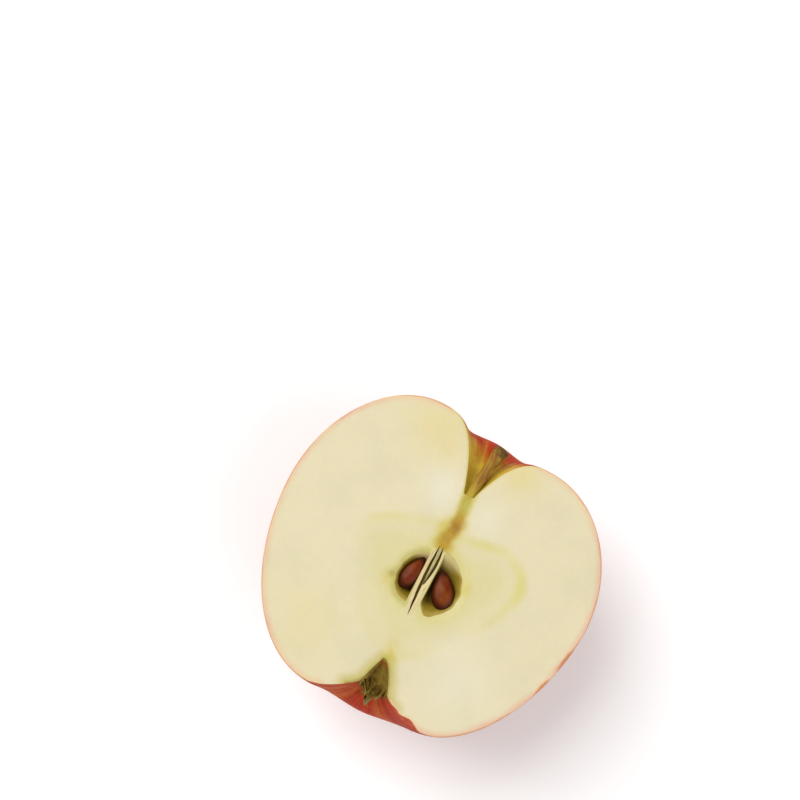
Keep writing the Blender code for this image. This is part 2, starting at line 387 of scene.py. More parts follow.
@dataclass(frozen=True)
class FleshFinish:
    """Moist cream flesh: its core line, the greenish core, the ochre strand and the peach rim.

    Fades are in mm from the mark that they belong to.
    """

    cream: Colour = srgb(226, 215, 178)
    grey: Colour = srgb(219, 210, 173)
    # pale: the colour of the painted sheen by the stem notch, and of paler flesh further down
    pale: Colour = srgb(232, 227, 204)
    warm: Colour = srgb(225, 208, 142)
    core_line: Colour = srgb(216, 206, 126)
    core_tint: Colour = srgb(216, 207, 146)
    cell_edge: Colour = srgb(178, 168, 78)
    glow: Colour = srgb(206, 186, 40)
    strand: Colour = srgb(184, 146, 6)
    strand_dark: Colour = srgb(160, 110, 4)
    fleck: Colour = srgb(168, 154, 66)
    strand_green: Colour = srgb(186, 172, 66)
    strand_edge: Colour = srgb(210, 198, 104)
    membrane: Colour = srgb(224, 200, 152)
    thread: Colour = srgb(178, 148, 86)
    blade: Colour = srgb(180, 166, 114)
    calyx_edge: Colour = srgb(192, 178, 76)
    tube_shade: Colour = srgb(150, 132, 52)
    inlet: Colour = srgb(214, 202, 124)
    peach: Colour = srgb(230, 198, 156)
    pink: Colour = srgb(226, 178, 150)
    rim: Colour = srgb(206, 138, 92)
    blush: Colour = srgb(200, 112, 48)
    torn: Colour = srgb(178, 66, 24)
    # sparkle: the colour of painted glints on the moist flesh
    sparkle: Colour = srgb(244, 238, 220)
    clouds: Grain = Grain(110.0)
    patches: Grain = Grain(45.0, 2.0)
    grains: Grain = Grain(900.0, 3.0, 0.7)
    wander: Grain = Grain(260.0, 2.0)
    edge_patches: Grain = Grain(130.0, 2.0)
    ripples: Grain = Grain(240.0, 2.0)
    wet_patches: Grain = Grain(420.0, 2.0)
    fibres: Grain = Grain(1500.0, 2.0, stretch=0.2)
    cloud_cover: Ramp = Ramp(0.4, 0.72, 0.0, 0.75)
    patch_cover: Ramp = Ramp(0.35, 0.65, 0.5, 1.1)
    wander_reach: Ramp = Ramp(0.0, 1.0, -0.8, 0.8, False)
    core_fade: Ramp = Ramp(-6.0, 1.5, 0.68, 0.0)
    glow_share: float = 0.92
    rim_waver: float = 0.6
    pink_patches: Ramp = Ramp(0.42, 0.58)
    rim_fade: Ramp = Ramp(0.0, 1.8, 0.8, 0.0)
    edge_width: Ramp = Ramp(0.35, 0.65, 0.15, 0.55, False)
    edge_fade: Ramp = Ramp(0.3, 1.0, 0.7, 0.0)
    inlet_fade: Ramp = Ramp(0.1, 0.7, 0.8, 0.0)
    blush_fade: Ramp = Ramp(0.1, 1.5, 1.0, 0.0)
    blush_grain: float = 0.5
    blush_cover: Ramp = Ramp(0.25, 0.75, 0.0, 0.8)
    torn_reach: float = 1.5
    torn_waver: float = 0.9
    torn_halo: Ramp = Ramp(-0.2, 0.7, 0.75, 0.0)
    torn_limit: Ramp = Ramp(0.05, 0.3)
    torn_edge: Ramp = Ramp(-0.45, -0.2)
    sparkles: Ramp = Ramp(0.3, 0.8, 0.0, 0.08)
    grain_relief: Relief = Relief(0.25, 0.12)
    ripple_relief: Relief = Relief(0.35, 0.4)
    wetness: Ramp = Ramp(0.3, 0.7, 0.36, 0.52)
    line_fade: Ramp = Ramp(0.0, 2.2, 1.0, 0.0)
    cell_waver: float = 0.8
    cell_fade: Ramp = Ramp(0.0, 3.2, 0.45, 0.0)
    left_fade: Ramp = Ramp(0.0, 1.8, 0.6, 0.0)
    tube_waver: float = 0.7
    tube_fade: Ramp = Ramp(0.0, 3.2, 0.85, 0.0)
    tube_shade_fade: Ramp = Ramp(-0.1, 0.7, 0.75, 0.0)
    strand_waver: float = 0.5
    strand_fade: Ramp = Ramp(0.7, 2.0, 0.85, 0.0)
    ochre_fade: Ramp = Ramp(0.4, 1.4, 0.97, 0.0)
    membrane_fade: Ramp = Ramp(0.25, 0.6, 0.9, 0.0)
    fibre_cover: Ramp = Ramp(0.3, 0.6, 0.5, 1.0)
    thread_lines: Ramp = Ramp(0.5, 0.66, 0.0, 0.5)
    thread_fade: Ramp = Ramp(0.1, 0.4, 1.0, 0.0)
    blade_fade: Ramp = Ramp(0.2, 0.4, 0.9, 0.0)
    scatter: float = 0.3
    scatter_tint: Colour = (1.0, 0.75, 0.4)
    scatter_reach: float = 0.9

    def build(self) -> Material:
        """Make the material.

        Returns:
            The material.
        """
        s = Shader("cut_flesh", self.cream)
        cloud = s.noise(s.place, self.clouds)
        s.paint(cloud, self.cloud_cover, self.grey)
        patch = s.noise(s.place, self.patches)
        uneven = s.ramp(patch, self.patch_cover)
        s.cover(s.times(s.mark("warm_share"), uneven), self.warm)
        # Painted sheen: paler, cooler patches by the stem notch stand in for the moist cut's sheen;
        # the spots further down are paler flesh.
        s.cover(s.times(s.mark("pale_share"), uneven), self.pale)
        grain = s.noise(s.place, self.grains)
        wander = s.ramp(s.noise(s.place, self.wander), self.wander_reach)
        s.paint(s.mark("core_gap"), self.core_fade, self.core_tint)
        s.cover(s.times(s.mark("glow"), self.glow_share), self.glow)
        self.core_marks(s, wander)
        self.rim_marks(s, wander, patch, grain)
        # Painted glints: faint pale specks on the fine grain stand in for the moist flesh's
        # sparkle.
        s.paint(grain, self.sparkles, self.sparkle)
        fine = s.bump(grain, self.grain_relief)
        relief = s.bump(s.noise(s.place, self.ripples), self.ripple_relief, fine)
        wetness = s.ramp(s.noise(s.place, self.wet_patches), self.wetness)
        return s.dress(Roughness=wetness, Normal=relief,
                       Subsurface_Weight=self.scatter, Subsurface_Radius=self.scatter_tint,
                       Subsurface_Scale=self.scatter_reach * MM, Specular_IOR_Level=0.3,
                       Coat_Weight=0.04, Coat_Roughness=0.25)

    def rim_marks(self, s: Shader, wander: NodeSocket, patch: NodeSocket,
                  grain: NodeSocket) -> None:
        """Paint what the skin leaves on the cut: the peach rim, blushes and torn skin.

        Args:
            s: the shader to paint in.
            wander: a small random distance in mm that makes edges uneven.
            patch: the flesh's broad pattern.
            grain: the flesh's fine pattern.
        """
        rim = s.plus(s.mark("rim"), s.times(wander, self.rim_waver))
        tint = s.mix(s.ramp(patch, self.pink_patches), self.pink, self.peach)
        s.paint(rim, self.rim_fade, tint)
        edge = s.ramp(s.noise(s.place, self.edge_patches), self.edge_width)
        edge = s.math("DIVIDE", s.mark("rim"), edge)
        s.paint(edge, self.edge_fade, self.rim)
        s.paint(s.mark("inlet_gap"), self.inlet_fade, self.inlet)
        blush = s.times(s.mark("blush"), s.ramp(rim, self.blush_fade))
        blush = s.plus(blush, s.sway(grain, self.blush_grain))
        s.paint(blush, self.blush_cover, self.blush)
        ragged = s.minus(s.mark("edge_gap"), s.times(s.mark("torn"), self.torn_reach))
        ragged = s.plus(ragged, s.times(wander, self.torn_waver))
        near = s.times(s.ramp(ragged, self.torn_halo), s.ramp(s.mark("torn"), self.torn_limit))
        s.cover(near, self.peach)
        s.colour = s.mix(s.ramp(ragged, self.torn_edge), self.torn, s.colour)

    def core_marks(self, s: Shader, wander: NodeSocket) -> None:
        """Paint what the core leaves on the cut: its line, halos, strand and membranes.

        Args:
            s: the shader to paint in.
            wander: a small random distance in mm that makes edges uneven.
        """
        line = s.math("ABSOLUTE", s.plus(s.mark("core_gap"), wander))
        share = s.times(s.ramp(line, self.line_fade), s.mark("line_share"))
        s.cover(share, self.core_line)
        near_cell = s.plus(s.mark("cell_gap"), s.times(wander, self.cell_waver))
        s.paint(near_cell, self.cell_fade, self.strand_edge)
        near_cell = s.plus(s.mark("left_gap"), wander)
        s.paint(near_cell, self.left_fade, self.cell_edge)
        s.cover(s.mark("fleck"), self.fleck)
        near_tube = s.plus(s.mark("tube_gap"), s.times(wander, self.tube_waver))
        s.paint(near_tube, self.tube_fade, self.calyx_edge)
        s.paint(near_tube, self.tube_shade_fade, self.tube_shade)
        strand = s.plus(s.mark("strand"), s.times(wander, self.strand_waver))
        s.paint(strand, self.strand_fade, self.strand_edge)
        ochre = s.mix(s.mark("dark_ochre"), self.strand, self.strand_dark)
        ochre = s.mix(s.mark("above_ochre"), ochre, self.strand_green)
        s.paint(strand, self.ochre_fade, ochre)
        fibres = s.noise(s.place, self.fibres)
        worn = s.times(s.ramp(s.mark("membrane"), self.membrane_fade),
                       s.ramp(fibres, self.fibre_cover))
        s.cover(worn, self.membrane)
        thread = s.times(s.ramp(fibres, self.thread_lines),
                         s.ramp(s.mark("membrane"), self.thread_fade))
        s.cover(thread, self.thread)
        s.paint(s.mark("blade"), self.blade_fade, self.blade)


@dataclass(frozen=True)
class SkinFinish:
    """Waxy skin: a yellow ground, red blush and streaks along the meridians, green at both ends.

    Places along the skin run from 0 in the funnel to 1 at the calyx.
    """

    ground: Colour = srgb(214, 134, 44)
    ground_pale: Colour = srgb(222, 166, 70)
    blush: Colour = srgb(184, 50, 6)
    streak: Colour = srgb(142, 26, 2)
    funnel: Colour = srgb(220, 188, 60)
    funnel_deep: Colour = srgb(172, 152, 44)
    rust: Colour = srgb(180, 112, 44)
    broad_streaks: Grain = Grain(3.2, 2.0)
    fine_streaks: Grain = Grain(9.0, 4.0, 0.65, 0.3)
    hair_streaks: Grain = Grain(26.0, 3.0, 0.6)
    mottling: Grain = Grain(160.0, 4.0, 0.65)
    flecking: Grain = Grain(900.0, 3.0, 0.6)
    wax: Grain = Grain(320.0, 3.0, 0.6)
    pores: Grain = Grain(700.0, 3.0, 0.6)
    blush_broad: float = 0.9
    blush_mottle: float = 0.35
    blush_cover: Ramp = Ramp(0.40, 0.66, 0.58, 1.0)
    streak_fine: float = 0.7
    streak_hair: float = 0.35
    streak_mottle: float = 0.2
    streak_cover: Ramp = Ramp(0.58, 0.78, 0.0, 0.7)
    fleck_cover: Ramp = Ramp(0.56, 0.74, 0.0, 0.22)
    mottle_sway: float = 0.06
    broad_sway: float = 0.07
    side_pull: float = 0.022
    funnel_fade: Ramp = Ramp(0.055, 0.122, 0.97, 0.0)
    rust_patches: Ramp = Ramp(0.5, 0.65)
    rust_fade: Ramp = Ramp(0.05, 0.14, 0.35, 0.1)
    deep_fade: Ramp = Ramp(0.0, 0.08, 0.8, 0.0)
    calyx_rust: Ramp = Ramp(0.975, 1.0, 0.0, 0.7)
    pore_relief: Relief = Relief(0.15, 0.1)
    middle: float = 0.52
    dull_ends: Ramp = Ramp(0.2, 0.36, 0.0, 0.35)
    gloss: Ramp = Ramp(0.3, 0.7, 0.28, 0.42)

    def build(self) -> Material:
        """Make the material.

        Returns:
            The material.
        """
        s = Shader("streaked_skin", self.ground)
        wrap = s.wrap("wrap")
        broad = s.noise(wrap, self.broad_streaks)
        fine = s.noise(wrap, self.fine_streaks)
        hair = s.noise(wrap, self.hair_streaks)
        mottle = s.noise(s.place, self.mottling)
        s.paint(mottle, HALVES, self.ground_pale)
        cover = s.plus(s.times(broad, self.blush_broad), s.times(mottle, self.blush_mottle))
        s.paint(cover, self.blush_cover, self.blush)
        lines = s.plus(s.times(fine, self.streak_fine), s.times(hair, self.streak_hair))
        lines = s.plus(lines, s.times(mottle, self.streak_mottle))
        s.paint(lines, self.streak_cover, self.streak)
        flecks = s.noise(s.place, self.flecking)
        s.paint(flecks, self.fleck_cover, self.ground_pale)
        along = s.mark("along")
        uneven = s.sway(mottle, self.mottle_sway)
        uneven = s.plus(uneven, s.sway(broad, self.broad_sway))
        across = s.math("ABSOLUTE", s.put("ShaderNodeSeparateXYZ", {0: wrap}))
        stem_end = s.minus(s.plus(along, uneven), s.times(across, self.side_pull))
        s.paint(stem_end, self.funnel_fade, self.funnel)
        rust = s.times(s.ramp(mottle, self.rust_patches), s.ramp(stem_end, self.rust_fade))
        s.cover(rust, self.rust)
        s.paint(along, self.deep_fade, self.funnel_deep)
        s.paint(stem_end, self.calyx_rust, self.rust)
        wax = s.noise(s.place, self.wax)
        relief = s.bump(s.noise(s.place, self.pores), self.pore_relief)
        ends = s.ramp(s.math("ABSOLUTE", s.minus(along, self.middle)), self.dull_ends)
        roughness = s.plus(s.ramp(wax, self.gloss), ends)
        return s.dress(Roughness=roughness, Normal=relief,
                       Subsurface_Weight=0.05, Subsurface_Scale=MM, Specular_IOR_Level=0.15)


@dataclass(frozen=True)
class LiningFinish:
    """The parchment lining of the seed cells: tan at the edge, olive deeper, beige at the ends."""

    beige: Colour = srgb(200, 182, 120)
    tan: Colour = srgb(170, 144, 58)
    olive: Colour = srgb(154, 132, 38)
    brown: Colour = srgb(112, 78, 22)
    streaks: Grain = Grain(1100.0, 3.0, 0.6, stretch=0.25)
    streak_depth: float = 1.2
    olive_depth: Ramp = Ramp(0.6, 1.8)
    # brown_depth: the depths over which the brown of painted shade is laid on
    brown_depth: Ramp = Ramp(2.0, 4.0, 0.0, 0.85)
    relief: Relief = Relief(0.3, 0.2)
    scatter: float = 0.4
    scatter_tint: Colour = (1.0, 0.7, 0.3)
    scatter_reach: float = 1.4

    def build(self) -> Material:
        """Make the material.

        Returns:
            The material.
        """
        s = Shader("cell_lining", self.tan)
        streaks = s.noise(s.place, self.streaks)
        depth = s.plus(s.mark("cell_depth"), s.times(streaks, self.streak_depth))
        s.paint(depth, self.olive_depth, self.olive)
        # Painted shade: brown laid over the lining where the hollow is deepest.
        s.paint(depth, self.brown_depth, self.brown)
        s.cover(s.mark("cell_pale"), self.beige)
        relief = s.bump(streaks, self.relief)
        return s.dress(Roughness=0.4, Normal=relief,
                       Subsurface_Weight=self.scatter, Subsurface_Radius=self.scatter_tint,
                       Subsurface_Scale=self.scatter_reach * MM, Specular_IOR_Level=0.35,
                       Coat_Weight=0.1, Coat_Roughness=0.2)


@dataclass(frozen=True)
class BarkFinish:
    """The stem's bark: olive brown with paler ridges, greener at its foot, darker at its knob."""

    olive: Colour = srgb(180, 140, 54)
    brown: Colour = srgb(140, 94, 26)
    dark: Colour = srgb(78, 52, 16)
    green: Colour = srgb(190, 168, 56)
    ridges: Grain = Grain(1500.0, 4.0, 0.65, stretch=0.14)
    spots: Grain = Grain(700.0, 3.0, 0.6)
    green_foot: Ramp = Ramp(0.1, 0.5, 0.85, 0.0)
    end_sway: float = 0.25
    dark_end: Ramp = Ramp(0.8, 0.96, 0.0, 0.85)
    dark_spots: Ramp = Ramp(0.62, 0.72, 0.0, 0.6)
    ridge_relief: Relief = Relief(0.5, 0.25)
    spot_relief: Relief = Relief(0.4, 0.2)
    dullness: Ramp = Ramp(0.3, 0.7, 0.5, 0.75)

    def build(self) -> Material:
        """Make the material.

        Returns:
            The material.
        """
        s = Shader("stem_bark", self.brown)
        along = s.mark("along")
        ridges = s.noise(s.place, self.ridges)
        spots = s.noise(s.place, self.spots)
        s.paint(ridges, HALVES, self.olive)
        s.paint(along, self.green_foot, self.green)
        ragged = s.plus(along, s.sway(spots, self.end_sway))
        s.paint(ragged, self.dark_end, self.dark)
        s.paint(spots, self.dark_spots, self.dark)
        relief = s.bump(ridges, self.ridge_relief, s.bump(spots, self.spot_relief))
        return s.dress(Roughness=s.ramp(ridges, self.dullness), Normal=relief,
                       Specular_IOR_Level=0.2)


@dataclass(frozen=True)
class SeedCoatFinish:
    """The seeds' glossy coat: chestnut brown, darker at the point, with painted shade round the
    edge.
    """

    chestnut: Colour = srgb(128, 60, 8)
    red: Colour = srgb(108, 37, 2)
    dark: Colour = srgb(52, 18, 2)
    veins: Grain = Grain(900.0, 4.0, 0.65, stretch=0.3)
    clouds: Grain = Grain(330.0, 2.0)
    vein_lines: Ramp = Ramp(0.48, 0.68, 0.0, 0.5)
    dark_tip: Ramp = Ramp(0.72, 1.0, 0.0, 0.8)
    dark_brink: Ramp = Ramp(0.5, 0.93, 0.0, 0.9)
    relief: Relief = Relief(0.25, 0.15)
    gloss: Ramp = Ramp(0.3, 0.7, 0.34, 0.5)

    def build(self) -> Material:
        """Make the material.

        Returns:
            The material.
        """
        s = Shader("seed_coat", self.red)
        veins = s.noise(s.wrap("grain"), self.veins)
        cloud = s.noise(s.place, self.clouds)
        s.paint(cloud, HALVES, self.chestnut)
        s.paint(veins, self.vein_lines, self.dark)
        s.paint(s.mark("tip"), self.dark_tip, self.dark)
        # Painted shade: darker towards the seed's rim, as seen from above.
        s.paint(s.mark("brink"), self.dark_brink, self.dark)
        relief = s.bump(veins, self.relief)
        return s.dress(Roughness=s.ramp(veins, self.gloss), Normal=relief,
                       Specular_IOR_Level=0.15, Coat_Weight=0.02, Coat_Roughness=0.25)


@dataclass(frozen=True)
class DryFinish:
    """Dried sepals and stamens: dull olive brown with grey-green down."""

    olive: Colour = srgb(138, 114, 42)
    brown: Colour = srgb(112, 82, 28)
    apex: Colour = srgb(142, 80, 18)
    down: Colour = srgb(164, 152, 96)
    clouds: Grain = Grain(420.0, 3.0, 0.6)
    threads: Grain = Grain(2400.0, 3.0, 0.7, stretch=0.25)
    apex_cover: Ramp = Ramp(0.0, 1.0, 0.0, 0.9)
    point_down: Ramp = Ramp(0.2, 1.0, 0.0, 0.3)
    down_cover: Ramp = Ramp(0.62, 0.84, 0.0, 0.65)
    relief: Relief = Relief(0.6, 0.3)

    def build(self) -> Material:
        """Make the material.

        Returns:
            The material.
        """
        s = Shader("dried_calyx", self.brown)
        cloud = s.noise(s.place, self.clouds)
        threads = s.noise(s.place, self.threads)
        s.paint(cloud, HALVES, self.olive)
        s.paint(s.mark("inner"), self.apex_cover, self.apex)
        downy = s.plus(threads, s.ramp(s.mark("point"), self.point_down))
        s.paint(downy, self.down_cover, self.down)
        relief = s.bump(threads, self.relief)
        return s.dress(Roughness=0.85, Normal=relief, Specular_IOR_Level=0.15)


@dataclass(frozen=True)
class DotFinish:
    """The skin's pale breathing dots."""

    tan: Colour = srgb(226, 190, 140)
    rust: Colour = srgb(200, 140, 92)
    patches: Grain = Grain(260.0, 2.0)

    def build(self) -> Material:
        """Make the material."""
        s = Shader("skin_dots", self.rust)
        s.paint(s.noise(s.place, self.patches), HALVES, self.tan)
        return s.dress(Roughness=0.5)


@dataclass(frozen=True)
class FloorFinish:
    """A plain pale floor with the faintest mottle, lit a little from below like a light table."""

    pale: Colour = (0.92, 0.92, 0.92)
    paler: Colour = (0.94, 0.94, 0.94)
    mottling: Grain = Grain(4.0, 2.0)
    light: float = 0.18

    def build(self) -> Material:
        """Make the material."""
        s = Shader("pale_floor", self.pale)
        s.cover(s.noise(s.place, self.mottling), self.paler)
        return s.dress(Roughness=0.9, Emission_Color=s.colour, Emission_Strength=self.light)


@dataclass
class Draft:
    """Points, faces, surfaces and marks that are gathered before they become one mesh."""

    points: list[Place] = field(default_factory=list)
    faces: list[tuple[int, ...]] = field(default_factory=list)
    zones: list[int] = field(default_factory=list)
    marks: dict[str, dict[int, float]] = field(default_factory=dict)

    def point(self, x: float, y: float, z: float, **marks: float) -> int:
        """Add a point in millimetres, with any numbers that it carries.

        Args:
            x: the place across.
            y: the place towards the stem.
            z: the height.
            **marks: the numbers that the materials read there.

        Returns:
            The point's number.
        """
        self.points.append((x * MM, y * MM, z * MM))
        number = len(self.points) - 1
        for name, value in marks.items():
            self.marks.setdefault(name, {})[number] = value
        return number

    def face(self, corners: Sequence[int], zone: Zone = Zone.SKIN) -> None:
        """Add a face of one surface."""
        self.faces.append(tuple(corners))
        self.zones.append(zone.value)

    def bridge(self, rows: Sequence[Sequence[int]], zone: Zone = Zone.SKIN,
               closed: bool = False) -> None:
        """Join rows of points with quads.

        Args:
            rows: the rows, all of one length.
            zone: the surface that the quads are of.
            closed: whether each row is a ring.
        """
        for near, far in zip(rows, rows[1:]):
            for i in range(len(near) - (0 if closed else 1)):
                j = (i + 1) % len(near)
                self.face((near[i], near[j], far[j], far[i]), zone)

    def close_sheets(self, front: list[list[int]], back: list[list[int]]) -> None:
        """Join the four edges of two sheets of points.

        Args:
            front: the rows of one sheet.
            back: the rows of the other.
        """
        for end in (0, -1):
            self.bridge([front[end], back[end]])
        for end in (0, -1):
            self.bridge([[row[end] for row in front], [row[end] for row in back]])

    def make(self, name: str, materials: Sequence[Material],
             sharp: float = 35.0) -> Object:
        """Turn the draft into a smooth-shaded object.

        Args:
            name: the object's name.
            materials: one material for each surface.
            sharp: the edge angle in degrees from which an edge stays crisp.

        Returns:
            The object, at the origin.
        """
        mesh = bpy.data.meshes.new(name)
        mesh.from_pydata(self.points, [], self.faces)
        for material in materials:
            mesh.materials.append(material)
        mesh.polygons.foreach_set("material_index", self.zones)
        for mark, values in self.marks.items():
            numbers = np.zeros(len(self.points), np.float32)
            numbers[list(values)] = list(values.values())
            mesh.attributes.new(mark, "FLOAT", "POINT").data.foreach_set("value", numbers)
        face_out(mesh)
        mesh.shade_smooth()
        mesh.set_sharp_from_angle(angle=math.radians(sharp))
        return link(bpy.data.objects.new(name, mesh))


def face_out(mesh: Mesh) -> None:
    """Turn a closed mesh's faces outwards.

    Args:
        mesh: the mesh.
    """
    shape = bmesh.new()
    shape.from_mesh(mesh)
    bmesh.ops.recalc_face_normals(shape, faces=shape.faces)
    shape.to_mesh(mesh)
    shape.free()


def link(obj: Object) -> Object:
    """Put an object in the scene and return it."""
    bpy.context.scene.collection.objects.link(obj)
    return obj


class Growth(Tree):
    """A Geometry Nodes tree with named inputs, which is run once and leaves a plain mesh."""

    def __init__(self, name: str) -> None:
        """Make an empty tree that takes and gives a mesh.

        Args:
            name: the tree's name.
        """
        super().__init__(bpy.data.node_groups.new(name, "GeometryNodeTree"))
        face = self.tree.interface
        face.new_socket("Geometry", in_out="INPUT", socket_type="NodeSocketGeometry")
        face.new_socket("Geometry", in_out="OUTPUT", socket_type="NodeSocketGeometry")
        self.entry = self.tree.nodes.new("NodeGroupInput")
        self.identifiers: dict[str, str] = {}

    def size(self, name: str, kind: str = "Float") -> NodeSocket:
        """Add a named input.

        Args:
            name: the input's name.
            kind: Float, Int, Vector or Material.

        Returns:
            The socket to use it from in the tree.
        """
        made = self.tree.interface.new_socket(name, in_out="INPUT", socket_type=f"NodeSocket{kind}")
        self.identifiers[name] = made.identifier
        return self.entry.outputs[name]

    def source(self) -> NodeSocket:
        """The mesh that the tree is given."""
        return self.entry.outputs["Geometry"]

    def geo(self, kind: str, inputs: dict | None = None, out: int | str = 0,
            **settings: object) -> NodeSocket:
        """Add a geometry node, named without its prefix, as put does."""
        return self.put(f"GeometryNode{kind}", inputs, out, **settings)

    def moved(self, shape: NodeSocket, offset: NodeSocket) -> NodeSocket:
        """Move the points of a shape."""
        return self.geo("SetPosition", {"Geometry": shape, "Offset": offset})

    def smooth(self, shape: NodeSocket) -> NodeSocket:
        """Shade a shape smooth."""
        return self.geo("SetShadeSmooth", {"Geometry": shape})

    def limit(self, value: object, bound: object, above: bool) -> NodeSocket:
        """Tell where a number lies above a bound, or below it."""
        operation = "GREATER_THAN" if above else "LESS_THAN"
        return self.put("FunctionNodeCompare", {0: value, 1: bound}, operation=operation)

    def store(self, shape: NodeSocket, name: str, value: object,
              kind: str = "FLOAT") -> NodeSocket:
        """Keep a value on the mesh, for its material to read.

        Args:
            shape: the mesh.
            name: the value's name.
            value: the value.
            kind: FLOAT, or FLOAT_VECTOR for a place.

        Returns:
            The mesh with the value.
        """
        return self.geo("StoreNamedAttribute",
                        {"Geometry": shape, "Name": name, "Value": value}, data_type=kind)

    def random(self, seed: object, low: float, high: float) -> NodeSocket:
        """Draw a seeded random number between two others."""
        return self.put("FunctionNodeRandomValue", {2: low, 3: high, "Seed": seed}, out=1,
                        data_type="FLOAT")

    def close(self, result: NodeSocket) -> None:
        """End the tree: the instances become mesh, and the mesh gets its material.

        Args:
            result: what the tree has made.
        """
        solid = self.geo("RealizeInstances", {0: result})
        coat = self.size("Material", "Material")
        dressed = self.geo("SetMaterial", {"Geometry": solid, "Material": coat})
        self.tree.links.new(dressed, self.tree.nodes.new("NodeGroupOutput").inputs[0])

    def grow(self, name: str, sizes: dict[str, object],
             seed_mesh: Mesh | None = None) -> Object:
        """Run the tree.

        Args:
            name: the new object's name.
            sizes: a value for each named input.
            seed_mesh: the mesh to give to the tree, if it needs one.

        Returns:
            A plain mesh object with no modifier left on it.
        """
        start = seed_mesh or bpy.data.meshes.new(f"{name}_start")
        holder = link(bpy.data.objects.new(f"{name}_holder", start))
        nodes = holder.modifiers.new("growth", "NODES")
        nodes.node_group = self.tree
        for key, value in sizes.items():
            nodes[self.identifiers[key]] = value
        graph = bpy.context.evaluated_depsgraph_get()
        mesh = bpy.data.meshes.new_from_object(
            holder.evaluated_get(graph), preserve_all_data_layers=True, depsgraph=graph)
        bpy.data.objects.remove(holder, do_unlink=True)
        mesh.name = name
        return link(bpy.data.objects.new(name, mesh))


@dataclass(frozen=True)
class Lobe:
    """One meridian of the apple, in mm: out is away from the core, up is towards the stem."""

    shoulder_out: float
    shoulder_up: float
    girth_out: float
    girth_up: float
    upper_fullness: float
    lower_fullness: float
    base_out: float
    base_down: float
    basin_curl: float
    mouth_out: float
    mouth_down: float
    tube_curl: float
    funnel_curl: float = 2.9

    def blend(self, other: Lobe, share: float) -> Lobe:
        """Mix this lobe with another.

        Args:
            other: the other lobe.
            share: how much of the other, from 0 to 1.

        Returns:
            The lobe between them.
        """
        sizes = {f.name: getattr(self, f.name) * (1 - share) + getattr(other, f.name) * share
                 for f in fields(self)}
        return Lobe(**sizes)


@dataclass
class Fruit:
    """The rule that the fruit's round outside follows, shared by everything that lies on it."""

    cut_height: float
    left: Lobe = Lobe(14.7, 33.59, 37.3, 3.4, 1.95, 1.95, 12.8, 34.8, 1.6, 2.3, 29.5, 0.9)
    right: Lobe = Lobe(14.0, 30.9, 36.49, 3.8, 1.97, 1.80, 14.2, 33.2, 2.3, 4.4, 29.6, 0.6)
    back: Lobe = Lobe(15.0, 33.0, 36.9, 0.0, 1.95, 1.92, 13.2, 35.0, 1.9, 3.7, 30.0, 0.75)
    floor_out: float = 1.2
    floor_up: float = 17.6
    apex_down: float = 22.6
    ribs: int = 5
    girth_rib: float = 0.3
    shoulder_rib: float = 0.4
    base_rib: float = 0.2
    funnel_steps: int = 22
    quarter_steps: int = 38
    basin_steps: int = 20
    tube_steps: int = 14
    # Below this depth the calyx tube's lining is marked deep, for the lining's painted shade.
    tube_dark_down: float = 24.0
    funnel_spacing: float = 1.5
    tube_spacing: float = 1.4

    @property
    def tube_start(self) -> int:
        """The number of a meridian's first point in the calyx tube."""
        return self.funnel_steps + 2 * self.quarter_steps + self.basin_steps

    def lobe(self, angle: float) -> Lobe:
        """Give the lobe at an angle about the core.

        Args:
            angle: the angle in radians, from -pi on the left to 0 on the right.

        Returns:
            The lobe there, ribs included.
        """
        side = self.right if math.cos(angle) > 0 else self.left
        plain = side.blend(self.back, math.sin(angle) ** 2)
        rib = math.cos(self.ribs * (angle + math.pi / 2))
        sizes = {f.name: getattr(plain, f.name) for f in fields(plain)}
        sizes["girth_out"] += self.girth_rib * rib
        sizes["shoulder_up"] += self.shoulder_rib * rib
        sizes["base_down"] += self.base_rib * rib
        return Lobe(**sizes)

    def tube(self, lobe: Lobe, share: float) -> Point:
        """Give a point (out, up) of the calyx tube, share 0 at its apex and 1 at its mouth."""
        length = lobe.mouth_down - self.apex_down
        return lobe.mouth_out * share ** lobe.tube_curl, -self.apex_down - length * share

    def meridian(self, lobe: Lobe) -> list[Point]:
        """Run down one meridian, from the funnel's floor to just short of the tube's apex.

        Args:
            lobe: the lobe to follow.

        Returns:
            The points (out, up), in mm.
        """
        points = []
        depth = lobe.shoulder_up - self.floor_up
        for i in range(self.funnel_steps):
            share = (i / self.funnel_steps) ** self.funnel_spacing
            out = self.floor_out + share * (lobe.shoulder_out - self.floor_out)
            points.append((out, lobe.shoulder_up - depth * (1 - share) ** lobe.funnel_curl))
        for fullness, low, up_first in ((lobe.upper_fullness, lobe.shoulder_up, True),
                                        (lobe.lower_fullness, -lobe.base_down, False)):
            inner = lobe.shoulder_out if up_first else lobe.base_out
            for i in range(self.quarter_steps):
                turn = math.pi / 2 * i / self.quarter_steps
                spread = math.sin(turn) if up_first else math.cos(turn)
                rise = math.cos(turn) if up_first else math.sin(turn)
                out = inner + (lobe.girth_out - inner) * spread ** (2 / fullness)
                points.append((out, lobe.girth_up + (low - lobe.girth_up) * rise ** (2 / fullness)))
        for i in range(self.basin_steps):
            share = i / self.basin_steps
            rise = (lobe.base_down - lobe.mouth_down) * share ** lobe.basin_curl
            points.append((lobe.base_out + (lobe.mouth_out - lobe.base_out) * share,
                           -lobe.base_down + rise))
        points += [self.tube(lobe, (1 - i / self.tube_steps) ** self.tube_spacing)
                   for i in range(self.tube_steps)]
        return points

    def place(self, out: float, up: float, angle: float) -> Place:
        """Place a point of a meridian at its angle about the core, in mm."""
        return out * math.cos(angle), up, self.cut_height + out * math.sin(angle)


